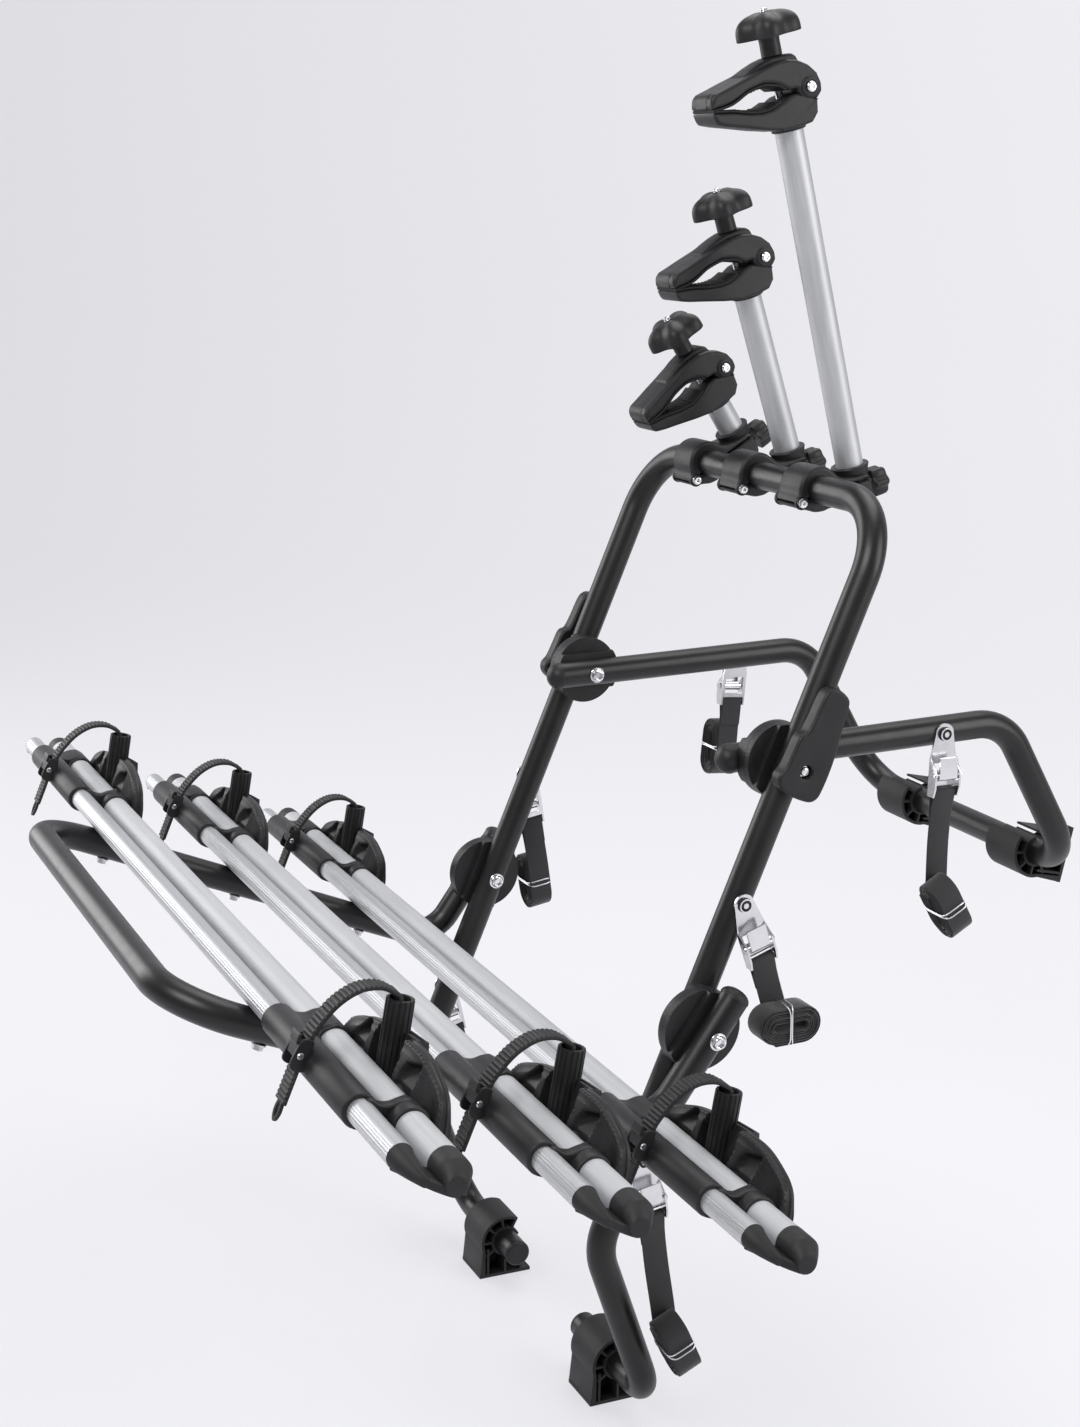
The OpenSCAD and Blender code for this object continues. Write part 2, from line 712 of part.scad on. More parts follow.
// Cam lever of a buckle, on its axle and shut against the window
module cam_lever(x, p, out, swings) {
    color(zinc) strap_frame(x, p, out, swings) difference() {
        union() {
            y_rod(cam_axle_at, 2 * cam_r, cam_w);
            translate([cam_axle_at.x + cam_r - cam_tab_t, -cam_w / 2, cam_axle_at.y]) cube([cam_tab_t, cam_w, cam_tab_len]);
        }
        y_rod(cam_axle_at, cam_axle_d + cam_play, cam_w + 2 * cut);
    }
}

web_play = 0.2;
bundle_len = 72;
bundle_t = 40;
bundle_pitch = 2.6;
bundle_turns = 6;
bundle_steps = 5;
seam_drop = 30;
tie_d = 1.6;
tie_gap = 4;

// Flat spiral of the rolled-up strap, from its outer turn inwards
function roll_point(turn_at, side_at, k) = let (
    r = bundle_t / 2 - web_t / 2 - bundle_pitch * (turn_at + (side_at + k / bundle_steps) / 2),
    h = bundle_len / 2 - bundle_t / 2,
    a = 180 * k / bundle_steps
) side_at == 0 ? [-r * cos(a), -h - r * sin(a)] : [r * cos(a), h + r * sin(a)];
roll_points = concat(
    [[web_t / 2 - bundle_t / 2, bundle_len / 2 - bundle_t / 2]],
    [for (t = [0:bundle_turns - 1], s = [0, 1], k = [0:bundle_steps]) roll_point(t, s, k)]
);

// Least clear distance of the rolled webbing to itself, between points at least a turn apart
roll_turn_points = 2 * (bundle_steps + 1);
function roll_clear(p) = min([for (i = [0:len(p) - 1 - roll_turn_points], j = [i + roll_turn_points:len(p) - 1])
    norm(p[j] - p[i])]) - web_t;
echo(least_gap_of_rolled_webbing = roll_clear(roll_points));

// Strap with its sewn loop on the buckle's bar, hanging down to its rolled-up length
module strap(drop, roll_turns) {
    r = buckle_bar_d / 2 + web_play + web_t / 2;
    loop = [for (a = [180:-30:0]) buckle_bar_at + r * [cos(a), sin(a)]];
    seam = buckle_bar_at.y - seam_drop;
    lay = buckle_bar_at.x - r + web_t;
    top = -buckle_end - drop;
    color(web_black) rotate([90, 0, 0]) linear_extrude(web_w, center = true) polygon(band(concat(
        [[buckle_bar_at.x - r, seam]], loop, [[lay, seam], [lay, top - bundle_t / 2]]
    ), web_t));
    across = roll_turns.y == 0 ? bundle_t : web_w;
    translate([lay + (across - web_t) / 2, 0, top - bundle_len / 2 + bundle_t / 2]) rotate([roll_turns.x, 0, 0])
        rotate([0, 0, roll_turns.y]) {
            color(web_black) rotate([90, 0, 0])
                linear_extrude(web_w, center = true) polygon(band(roll_points, web_t));
            color(alloy) for (z = [-tie_gap / 2, tie_gap / 2]) translate([0, 0, z])
                linear_extrude(tie_d, center = true) difference() {
                    square([bundle_t + 2 * tie_d, web_w + 2 * tie_d], center = true);
                    square([bundle_t, web_w], center = true);
                }
        }
}

// Length of hanging webbing and turns of the roll, left and right
hoop_drops = [61, 50];
foot_drops = [45, 117];
frame_drops = [40, 99];
hoop_rolls = [[0, 0], [72, 90]];
foot_rolls = [[-20, 0], [15, 0]];
frame_rolls = [[0, 0], [30, 0]];

module hoop_buckles() {
    color(zinc) for (s = [-1, 1]) {
        strap_frame(half_hoop, leg_at(hoop_strap_up), s, hoop_swings) strap_buckle();
        strap_frame(half_hoop, leg_at(-foot_strap_down), s, foot_swings) strap_buckle();
    }
}

module hoop_straps() {
    for (i = [0, 1]) {
        strap_frame(half_hoop, leg_at(hoop_strap_up), 2 * i - 1, hoop_swings) strap(hoop_drops[i], hoop_rolls[i]);
        strap_frame(half_hoop, leg_at(-foot_strap_down), 2 * i - 1, foot_swings) strap(foot_drops[i], foot_rolls[i]);
    }
}

module frame_buckles() {
    color(zinc) for (s = [-1, 1]) strap_frame(half_frame, frame_strap_at, s, frame_swings) strap_buckle();
}

module frame_straps() {
    for (i = [0, 1]) strap_frame(half_frame, frame_strap_at, 2 * i - 1, frame_swings)
        strap(frame_drops[i], frame_rolls[i]);
}

// Wheel trays --------------------------------------------------------------

fin_foot_n = 11;
window_len = 118;
bridge_len = 20;
post_bore = 18;
post_lean = 13.3;
post_y = 64;
post_n = 38;
flutes = 12;
flute_d = 4;
fin_wall = 4;
fin_shares = [
    [-0.61, 0.0], [-0.61, 0.2], [-0.44, 0.42], [-0.37, 0.62], [-0.27, 0.76], [-0.16, 0.86],
    [0.17, 0.98], [0.31, 1.0], [0.45, 0.93], [0.56, 0.78], [0.6, 0.66], [0.62, 0.35], [0.62, 0.0]
];

module tray_fin() {
    difference() {
        rotate([90, 0, 0]) linear_extrude(fin_t, center = true)
            polygon([for (p = fin_shares) [p.x * tray_len, p.y * fin_h]]);
        for (s = [-1, 1]) translate([s * tray_len / 4, -fin_wall, fin_h / 5]) rotate([90, 0, 0])
            linear_extrude(fin_t) polygon([
                [-s * tray_len / 10, 0], [s * tray_len / 6, 0], [-s * tray_len / 10, fin_h * 3 / 7]
            ]);
    }
}

// Tray on a rail: X along the rail from the tray's middle
module tray_body() {
    outer = rail_rear_r + tray_gap + tray_wall;
    difference() {
        union() {
            x_plate(tray_len) difference() {
                rail_outline(tray_gap + tray_wall);
                rail_outline(tray_gap);
            }
            translate([0, post_y, post_n]) rotate([post_lean, 0, 0]) translate([0, 0, fin_foot_n - post_n]) tray_fin();
            translate([0, rail_span, tube_r - tray_gap - tray_wall]) x_plate(tray_len)
                square([post_y - rail_span, tray_wall]);
            for (s = [-1, 1]) translate([s * (tray_len - bridge_len) / 2, 0, rear_n]) x_plate(bridge_len)
                square([rail_span, tray_wall]);
            translate([0, post_y, post_n]) rotate([post_lean, 0, 0]) wheel_post();
        }
        translate([-window_len / 2, rail_span - outer, rear_n - rail_front_r / 2])
            cube([window_len, outer * 3 / 2, outer + rail_front_r]);
        x_plate(tray_len + 2 * cut) rail_outline(tray_gap);
        translate([0, post_y, post_n]) rotate([post_lean, 0, 0]) cylinder(d = post_bore, h = post_h + cut);
    }
}

module wheel_post() {
    difference() {
        cylinder(d = post_d, h = post_h);
        for (i = [0:flutes - 1]) rotate(i * 360 / flutes) translate([post_d / 2 + flute_d / 4, 0, -cut])
            cylinder(d = flute_d, h = post_h + 2 * cut, $fn = 12);
    }
}

tray_sides = [near_trays, far_trays];

module tray(i, end) {
    color(plastic) rail_frame(rails_u[i]) translate([tray_sides[end][i], 0, 0]) tray_body();
}

// Toothed strap: tail hanging from its buckle, arc over the wheel seat and end in the post
ratchet_play = 0.9;
ratchet_y = -rail_front_r - tray_gap - tray_wall - ratchet_play - ratchet_t / 2;
tail_n = -28;
ratchet_buckle_n = 33;
ratchet_buckle_h = 22;
ratchet_buckle_t = 12;
ratchet_pin_d = 5;
tooth_pitch = 4;
tooth_h = 1;
teeth = 7;
tail_slot = [6, 14];
// Places of the arc, as shares of the way to the post and of its height
arc_shares = [[0.03, 0.1], [0.06, 0.32], [0.2, 0.66], [0.4, 0.9], [0.64, 1.0], [0.84, 0.99], [0.96, 0.92]];

module ratchet_strap(i, end) {
    post_top = [post_y, post_n] + post_h * [-sin(post_lean), cos(post_lean)];
    post_in = [post_y, post_n] + post_h / 2 * [-sin(post_lean), cos(post_lean)];
    start = [ratchet_y, ratchet_buckle_n];
    path = concat(
        [[ratchet_y, tail_n], start],
        [for (p = arc_shares) start + [p.x * (post_top.x - start.x), p.y * (post_top.y + ratchet_w / 4 - start.y)]],
        [post_in]
    );
    color(plastic) rail_frame(rails_u[i]) translate([tray_sides[end][i], 0, 0]) {
        difference() {
            union() {
                x_plate(ratchet_w) polygon(band(path, ratchet_t));
                for (k = [0:teeth - 1]) translate([0, ratchet_y - ratchet_t / 2, tail_n + tail_slot.y + k * tooth_pitch + tooth_pitch])
                    x_plate(ratchet_w) polygon([[0, 0], [-tooth_h, 0], [0, tooth_pitch / 2]]);
            }
            translate([0, 0, tail_n + tail_slot.y / 2 + tail_slot.x / 2]) rotate([90, 0, 0])
                linear_extrude(-2 * ratchet_y) square(tail_slot, center = true);
        }
        difference() {
            translate([0, ratchet_y - ratchet_buckle_t / 2 + ratchet_t / 2 + ratchet_play / 2, ratchet_buckle_n])
                cube([ratchet_w + 2 * tray_wall, ratchet_buckle_t, ratchet_buckle_h], center = true);
            translate([0, ratchet_y, ratchet_buckle_n])
                cube([ratchet_w + ratchet_play, ratchet_t + ratchet_play, 2 * ratchet_buckle_h], center = true);
        }
    }
}

// Clamp arms ---------------------------------------------------------------

arm_foot = 5;
socket_in = 12;
socket_wall = 3.5;
collar_play = 0.05;
collar_r = tube_r + collar_wall;
split_n = -6;
split_gap = 2.4;
pin_at = [-24, -7];
pin_d = 6;
pin_boss = 7;
star_y = 70.8;
star_n = -18;
star_d = 33;
star_t = 18;
stud_d = 6;
lug_t = 10;
ear_y = 52;
bar_at = side(0, top_bar);

// Arm frame: X along the top bar, Y behind the arm, Z along its tube
module arm_frame(i) {
    translate([arm_places[i], bar_at.y, bar_at.z]) rotate([arm_tilts[i], 0, 0]) children();
}

// Depth to which the lower jaw holds the arm tube
jaw_socket = 7;

module arm_tube(i) {
    color(alloy) arm_frame(i) translate([0, arm_back, arm_foot - socket_in])
        linear_extrude(socket_in + arm_lens[i] + jaw_socket) ring2(arm_d, arm_wall);
}

// Outline of the closed collar in Y and Z, with its socket and clamping lugs
module collar_outline() {
    circle(r = collar_r);
    translate(pin_at) circle(r = pin_boss);
    polygon([
        [0, collar_r], [arm_back, arm_foot], [star_y - star_t / 2, arm_foot - socket_in / 2],
        [ear_y + lug_t, star_n - lug_t], [tube_r, -collar_r], [-tube_r, 0]
    ]);
}

module collar_cuts(w) {
    x_rod_local(w, tube_d + 2 * collar_play);
    translate([0, pin_at.x, pin_at.y]) x_rod_local(w, pin_d + bolt_play);
    translate([0, 0, star_n]) rotate([-90, 0, 0]) cylinder(d = stud_d + bolt_play, h = star_y);
}

// Rod along X, centred on the origin
module x_rod_local(w, d) {
    rotate([0, 90, 0]) cylinder(d = d, h = w, center = true);
}

module arm_collar(i) {
    socket_r = arm_d / 2 + socket_wall;
    color(plastic) arm_frame(i) {
        // Half that carries the socket
        difference() {
            union() {
                intersection() {
                    x_plate(collar_w) collar_outline();
                    translate([-collar_w, -2 * arm_back, split_n + split_gap / 2])
                        cube([2 * collar_w, 4 * arm_back, 2 * arm_back]);
                }
                translate([0, ear_y, star_n]) cube([collar_w / 2, lug_t, 2 * lug_t], center = true);
                translate([0, arm_back, split_n + split_gap / 2]) cylinder(r = socket_r, h = arm_foot - split_n + split_gap);
                translate([0, arm_back, arm_foot - socket_wall])
                    cylinder(r1 = socket_r, r2 = socket_r + socket_wall, h = 2 * socket_wall);
            }
            translate([0, arm_back, arm_foot - socket_in]) cylinder(d = arm_d, h = 2 * socket_in);
            collar_cuts(2 * collar_w);
        }
        // Half that swings open round the hinge pin
        difference() {
            union() {
                intersection() {
                    x_plate(collar_w) collar_outline();
                    translate([-collar_w, -2 * arm_back, split_n - split_gap / 2 - 2 * arm_back])
                        cube([2 * collar_w, 2 * arm_back + collar_r, 2 * arm_back]);
                }
            }
            collar_cuts(2 * collar_w);
        }
    }
}

// Clamp frame: X forwards from the arm tube, Y along it and Z to the left
module clamp_frame(i) {
    arm_frame(i) placed([0, arm_back, arm_foot + arm_lens[i]], [0, -1, 0], [0, 0, 1], [-1, 0, 0]) children();
}

jaw_pivot = [-20, 35];
knuckle_r = 14;
knuckle_w = 20;
jaw_play = 0.3;
jaw_gap = 0.5;
pivot_d = 8;
pivot_head_d = 13;
pivot_head_h = 4;
screw_x = 4;
screw_swing = 5.5;
liner_t = 3;
liner_inset = 3;
socket_lip = 3;
nut_n = 11;
nut_t = 4;
nut_size = [26, 18];

// Outlines of the jaws as shares of the way from the pivot to the tip, from the clamp's origin
lower_out_shares = [[-0.236, 0.2], [-0.153, 0], [0.165, 0], [0.53, 0.118], [0.754, 0.192], [0.813, 0.237]];
lower_in_shares = [[0.817, 0.314], [0.625, 0.277], [0.464, 0.225], [0.286, 0.202], [0.116, 0.232], [-0.023, 0.271]];
upper_in_shares = [[-0.045, 0.384], [0.095, 0.415], [0.259, 0.446], [0.429, 0.423], [0.625, 0.354], [0.817, 0.348]];
upper_out_shares = [[0.821, 0.415], [0.781, 0.463], [0.536, 0.513], [0.268, 0.567], [0.107, 0.594], [-0.071, 0.567], [-0.283, 0.424]];
saddle_top = 0.631;
saddle_shares = [[-0.143, 0.545], [-0.125, 0.603], [-0.071, saddle_top], [0.134, saddle_top], [0.277, 0.596], [0.42, 0.545], [0.393, 0.491], [-0.089, 0.491]];
saddle_w = 28;

module centred(w) {
    linear_extrude(w, center = true) children();
}

// Ears cut of a jaw: what the other jaw's knuckles sweep, at |Z| from a to b
module knuckle_sweep(a, b) {
    for (s = [-1, 1]) translate([jaw_pivot.x, jaw_pivot.y, s * (a + b) / 2])
        centred(b - a) circle(r = knuckle_r + jaw_play);
}

module jaw_liner(shares, side_sign) {
    centred(jaw_w - 2 * liner_inset)
        polygon(band([for (p = shares) jaw_len * p + [0, side_sign * liner_t / 2]], liner_t));
}

module lower_jaw(i) {
    clamp_frame(i) {
        color(plastic) difference() {
            union() {
                centred(jaw_w) polygon([for (p = concat(lower_out_shares, lower_in_shares)) jaw_len * p]);
                centred(knuckle_w) translate(jaw_pivot) circle(r = knuckle_r);
                rotate([-90, 0, 0]) cylinder(d = arm_d + 2 * socket_lip, h = jaw_socket + socket_lip);
            }
            rotate([-90, 0, 0]) translate([0, 0, -cut]) cylinder(d = arm_d, h = jaw_socket + cut);
            translate(jaw_pivot) centred(2 * jaw_w) circle(d = pivot_d);
            knuckle_sweep(knuckle_w / 2, jaw_w);
            // Slot in which the screw swings with the upper jaw, and the nut's pocket
            slot = screw_d + 2 * jaw_play + jaw_gap;
            translate([screw_x - slot / 2, jaw_socket - cut, -slot / 2])
                cube([slot + screw_swing, jaw_len, slot]);
            translate([screw_x - nut_size.x / 2 + screw_swing / 2, nut_n, -nut_size.y / 2])
                cube([nut_size.x, nut_t, nut_size.y]);
        }
        color(web_black) difference() {
            jaw_liner([for (i = [1:4]) lower_in_shares[i]], 1);
            translate([screw_x + screw_swing, jaw_len / 4, 0]) rotate([90, 0, 0])
                cylinder(r = screw_d, h = jaw_len, center = true);
        }
    }
}

module upper_jaw(i) {
    bore = screw_d + bolt_play;
    clamp_frame(i) {
        color(plastic) difference() {
            union() {
                centred(jaw_w) polygon([for (p = concat(upper_in_shares, upper_out_shares)) jaw_len * p]);
                centred(saddle_w) polygon([for (p = saddle_shares) jaw_len * p]);
                for (s = [-1, 1]) translate([jaw_pivot.x, jaw_pivot.y, s * (jaw_w + knuckle_w + 2 * jaw_play) / 4])
                    centred((jaw_w - knuckle_w - 2 * jaw_play) / 2) circle(r = knuckle_r);
            }
            translate(jaw_pivot) centred(2 * jaw_w) circle(d = pivot_d + bolt_play);
            translate([jaw_pivot.x, jaw_pivot.y, 0])
                centred(knuckle_w + 2 * jaw_play) circle(r = knuckle_r + jaw_play);
            translate([screw_x, 0, 0]) rotate([-90, 0, 0]) cylinder(d = bore, h = jaw_len);
        }
        color(web_black) difference() {
            jaw_liner([for (i = [2:4]) upper_in_shares[i]], -1);
            translate([screw_x, 0, 0]) rotate([-90, 0, 0]) cylinder(d = bore + jaw_gap, h = jaw_len);
        }
    }
}

module arm_bolts(i) {
    color(zinc) {
        clamp_frame(i) {
            translate(jaw_pivot) {
                centred(jaw_w + 2 * jaw_play) circle(d = pivot_d);
                for (s = [-1, 1]) translate([0, 0, s * (jaw_w / 2 + jaw_play + pivot_head_h / 2)])
                    centred(pivot_head_h) circle(d = pivot_head_d);
            }
            difference() {
                translate([screw_x - nut_size.x / 2 + screw_swing / 2, nut_n, -nut_size.y / 2])
                    cube([nut_size.x, nut_t, nut_size.y]);
                slot = screw_d + 2 * jaw_play;
                translate([screw_x - slot / 2, 0, -slot / 2]) cube([slot + screw_swing, jaw_len, slot]);
            }
        }
        arm_frame(i) {
            translate([0, pin_at.x, pin_at.y]) x_rod_local(collar_w, pin_d);
            for (s = [-1, 1]) translate([s * (collar_w + pivot_head_h) / 2, pin_at.x, pin_at.y])
                x_rod_local(pivot_head_h, pin_d + 2 * washer_t + pivot_head_h);
        }
    }
}

// Clamp knob with its screw
knob_stem_d = 21;
knob_gap = 0.4;
knob_stem_h = 20;
knob_h = 24;
knob_lobes = 5;
knob_dome = 7;
knob_tip_h = 3;

module clamp_knob(i) {
    top = saddle_top * jaw_len + knob_gap;
    lobe = knob_w / 6;
    clamp_frame(i) translate([screw_x, 0, 0]) rotate([-90, 0, 0]) {
        color(zinc) translate([0, 0, nut_n - nut_t / 4]) cylinder(d = screw_d, h = top - nut_n + nut_t / 4);
        color(plastic) {
            translate([0, 0, top]) cylinder(d = knob_stem_d, h = knob_stem_h);
            translate([0, 0, top + knob_stem_h]) knob_body(knob_w, knob_h, knob_lobes, knob_dome);
        }
        color(zinc) translate([0, 0, top + knob_stem_h + knob_h]) cylinder(d = screw_d, h = knob_tip_h);
    }
}

// Lobed grip of a given width across its lobes, domed at the top
module knob_body(w, h, lobes, dome) {
    lobe_r = w / 7;
    module star(inset) {
        circle(r = w / 2 - lobe_r - inset);
        for (k = [0:lobes - 1]) rotate(k * 360 / lobes) translate([w / 2 - lobe_r, 0]) circle(r = lobe_r - inset);
    }
    linear_extrude(h - dome) star(0);
    intersection() {
        linear_extrude(h) star(0);
        translate([0, 0, h - dome]) cylinder(r1 = w / 2, r2 = w / 2 - 2 * dome, h = dome);
    }
}

module star_knob(i) {
    color(plastic) arm_frame(i) translate([0, star_y, star_n]) rotate([-90, 0, 0]) {
        knob_body(star_d, star_t, 6, star_t / 6);
        translate([0, 0, tube_r + 2 * cut - star_y]) cylinder(d = stud_d, h = star_y - tube_r - 2 * cut);
    }
}

hoop_tube();
hoop_end_caps();
lower_foot_pads();
hoop_hinge_discs();
hinge_bolts();
hoop_buckles();
hoop_straps();
upper_frame_tube();
upper_foot_pads();
upper_frame_discs();
frame_buckles();
frame_straps();
release_lever(-1);  // left_release_lever
release_lever(1);  // right_release_lever
platform_tube();
platform_discs();
rail(0);  // rail_1
rail(1);  // rail_2
rail(2);  // rail_3
rail_end_caps();
rail_bolts();
tray(0, 0);  // tray_1_near
tray(1, 0);  // tray_2_near
tray(2, 0);  // tray_3_near
tray(0, 1);  // tray_1_far
tray(1, 1);  // tray_2_far
tray(2, 1);  // tray_3_far
ratchet_strap(0, 0);  // ratchet_strap_1_near
ratchet_strap(1, 0);  // ratchet_strap_2_near
ratchet_strap(2, 0);  // ratchet_strap_3_near
ratchet_strap(0, 1);  // ratchet_strap_1_far
ratchet_strap(1, 1);  // ratchet_strap_2_far
ratchet_strap(2, 1);  // ratchet_strap_3_far
arm_tube(0);  // arm_tube_1
arm_tube(1);  // arm_tube_2
arm_tube(2);  // arm_tube_3
arm_collar(0);  // arm_collar_1
arm_collar(1);  // arm_collar_2
arm_collar(2);  // arm_collar_3
lower_jaw(0);  // lower_jaw_1
lower_jaw(1);  // lower_jaw_2
lower_jaw(2);  // lower_jaw_3
arm_bolts(0);  // arm_bolts_1
arm_bolts(1);  // arm_bolts_2
arm_bolts(2);  // arm_bolts_3
upper_jaw(0);  // upper_jaw_1
upper_jaw(1);  // upper_jaw_2
upper_jaw(2);  // upper_jaw_3
clamp_knob(0);  // clamp_knob_1
clamp_knob(1);  // clamp_knob_2
clamp_knob(2);  // clamp_knob_3
star_knob(0);  // star_knob_1
star_knob(1);  // star_knob_2
star_knob(2);  // star_knob_3
cam_lever(half_hoop, leg_at(hoop_strap_up), -1, hoop_swings);  // cam_lever_hoop_left
cam_lever(half_hoop, leg_at(hoop_strap_up), 1, hoop_swings);  // cam_lever_hoop_right
cam_lever(half_hoop, leg_at(-foot_strap_down), -1, foot_swings);  // cam_lever_foot_left
cam_lever(half_hoop, leg_at(-foot_strap_down), 1, foot_swings);  // cam_lever_foot_right
cam_lever(half_frame, frame_strap_at, -1, frame_swings);  // cam_lever_frame_left
cam_lever(half_frame, frame_strap_at, 1, frame_swings);  // cam_lever_frame_right
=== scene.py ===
"""Looks of the tailgate bike rack: smooth tubes, mouldings, webbing and the studio around them."""
import json
import math

import bmesh
import bpy
import numpy as np
from mathutils import Matrix


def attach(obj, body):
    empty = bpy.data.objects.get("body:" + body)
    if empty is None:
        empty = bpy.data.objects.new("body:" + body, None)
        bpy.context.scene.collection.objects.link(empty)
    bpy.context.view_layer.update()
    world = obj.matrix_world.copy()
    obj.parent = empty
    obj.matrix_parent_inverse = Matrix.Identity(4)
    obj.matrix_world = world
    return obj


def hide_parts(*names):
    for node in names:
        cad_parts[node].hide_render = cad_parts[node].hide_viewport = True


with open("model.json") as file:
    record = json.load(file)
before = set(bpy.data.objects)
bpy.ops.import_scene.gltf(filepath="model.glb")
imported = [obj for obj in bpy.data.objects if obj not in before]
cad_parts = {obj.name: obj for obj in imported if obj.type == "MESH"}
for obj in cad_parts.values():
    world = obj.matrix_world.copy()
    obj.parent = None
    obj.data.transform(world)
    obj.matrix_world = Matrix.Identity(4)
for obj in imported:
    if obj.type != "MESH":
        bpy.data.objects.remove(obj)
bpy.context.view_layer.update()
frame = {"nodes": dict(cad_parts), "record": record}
NODES = frame["nodes"]
MM = 0.001

# Sizes of the rack in millimetres, as the solids have them ---------------------------------

TUBE_R = 15.0
HOOP_TILT, FOOT_TILT, RAIL_TILT = 22.0, 20.0, 22.0
HALF_HOOP, HALF_FRAME, HALF_PLATFORM = 248.0, 201.0, 293.0
PAD_H, FOOT_LEG, LEG_DOWN, HOOP_UP, FOOT_IN = 44.0, 193.0, 250.0, 548.0, 157.0
ARM_BACK, ARM_FOOT = 52.0, 5.0
ARM_PLACES, ARM_TILTS, ARM_LENS = (-143.0, -31.0, 94.0), (34.0, 19.5, 15.5), (40.0, 181.0, 356.0)
RAIL_PLACES = (508.0, 343.0, 178.0)
FRONT_R, REAR_R, RAIL_SPAN, RAIL_END = 11.0, 14.0, 37.0, 645.0
FRONT_N, REAR_N = TUBE_R + FRONT_R, TUBE_R + REAR_R
TRAY_PLACES = {"near": (456.0, 467.0, 474.0), "far": (-487.0, -492.0, -498.0)}


def sin_of(a):
    return math.sin(math.radians(a))


def cos_of(a):
    return math.cos(math.radians(a))


def tan_of(a):
    return math.tan(math.radians(a))


def side_dir(a):
    """Direction in the side plane, at an angle above level."""
    return np.array([0.0, cos_of(a), sin_of(a)])


HINGE_H = PAD_H + FOOT_LEG * cos_of(FOOT_TILT) + LEG_DOWN * cos_of(HOOP_TILT)
LEG_DIR = side_dir(90 - HOOP_TILT)


def leg_at(s):
    """Point of the hoop leg in the side plane, counted from the lower hinge."""
    return np.array([0.0, 0.0, HINGE_H]) + s * LEG_DIR


KNEE = leg_at(-LEG_DOWN)
HEEL = np.array([0.0, KNEE[1] + FOOT_LEG * sin_of(FOOT_TILT), PAD_H])
UPPER_HINGE, LOWER_HINGE, TOP_BAR = leg_at(275), leg_at(0), leg_at(HOOP_UP)
FRAME_RISE, DROP_SLOPE = 2.0, 58.5
FRAME_STUB, FRAME_REACH, FRAME_DROP = 42.0, 293.0, 205.0
ARM_DIR = side_dir(FRAME_RISE)
FRAME_START = UPPER_HINGE - FRAME_STUB * ARM_DIR
FRAME_BEND = UPPER_HINGE + FRAME_REACH * ARM_DIR
CROSSBAR = FRAME_BEND + FRAME_DROP * side_dir(-DROP_SLOPE)
ALONG_P = np.array([0.0, -cos_of(RAIL_TILT), sin_of(RAIL_TILT)])
PLATFORM_DROP, PLATFORM_OUT, STUB_LEAN, STUB_UP = 100.0, 580.0, 55.0, 44.0
PLATFORM_FOOT = LOWER_HINGE - np.array([0, 0, PLATFORM_DROP / cos_of(RAIL_TILT)])
STUB_DIR = side_dir(STUB_LEAN)
STUB_END = LOWER_HINGE + STUB_UP * STUB_DIR
# Distance along the platform at which the stub's line meets it
STUB_MEET = PLATFORM_DROP * (tan_of(RAIL_TILT) + 1 / tan_of(RAIL_TILT + STUB_LEAN))
STUB_CORNER = PLATFORM_FOOT + STUB_MEET * ALONG_P
FRONT_BAR = PLATFORM_FOOT + PLATFORM_OUT * ALONG_P


class Place:
    """A local frame: an origin and three axes, so that at(points) gives points of the rack."""

    def __init__(self, origin, axes):
        self.origin, self.axes = np.asarray(origin, float), np.asarray(axes, float)

    def at(self, points):
        return np.asarray(points, float) @ self.axes + self.origin

    def inner(self, origin, axes=np.eye(3)):
        return Place(self.at(origin), np.asarray(axes, float) @ self.axes)

    def turned_x(self, a):
        c, s = cos_of(a), sin_of(a)
        return Place(self.origin, np.array([[1, 0, 0], [0, c, s], [0, -s, c]]) @ self.axes)


def side_point(x, p):
    """Point of the side plane, moved to a distance along X."""
    return np.array([x, p[1], p[2]])


def rail_place(u):
    """X along a rail at u from the platform's foot, Y to the rear, Z up from the platform."""
    return Place(PLATFORM_FOOT, np.eye(3)).turned_x(-RAIL_TILT).inner((0, -u, 0))


def arm_place(i):
    """The hoop's top bar at an arm's foot: Z along the arm's tube, Y to the rear."""
    return Place(side_point(ARM_PLACES[i], TOP_BAR), np.eye(3)).turned_x(ARM_TILTS[i])


def clamp_place(i):
    """X forwards from the arm tube, Y along it, Z to the left."""
    return arm_place(i).inner((0, ARM_BACK, ARM_FOOT + ARM_LENS[i]), [[0, -1, 0], [0, 0, 1], [-1, 0, 0]])


def strap_place(x, p, out, swing):
    """X outwards from the tube's flank, Y along the strap's width, Z up."""
    return Place(side_point(out * (x + TUBE_R), p), [[out, 0, 0], [0, out, 0], [0, 0, 1]]).turned_x(out * swing)


# Meshes from numpy arrays ------------------------------------------------------------------

def grid_faces(rows, cols, wrap_rows, wrap_cols, start=0):
    """Quads of a grid of rows x cols points, joined at its ends where it wraps."""
    r = np.arange(rows if wrap_rows else rows - 1)[:, None]
    c = np.arange(cols if wrap_cols else cols - 1)[None, :]
    r2, c2 = (r + 1) % rows, (c + 1) % cols
    return start + np.stack([r * cols + c, r * cols + c2, r2 * cols + c2, r2 * cols + c], -1).reshape(-1, 4)


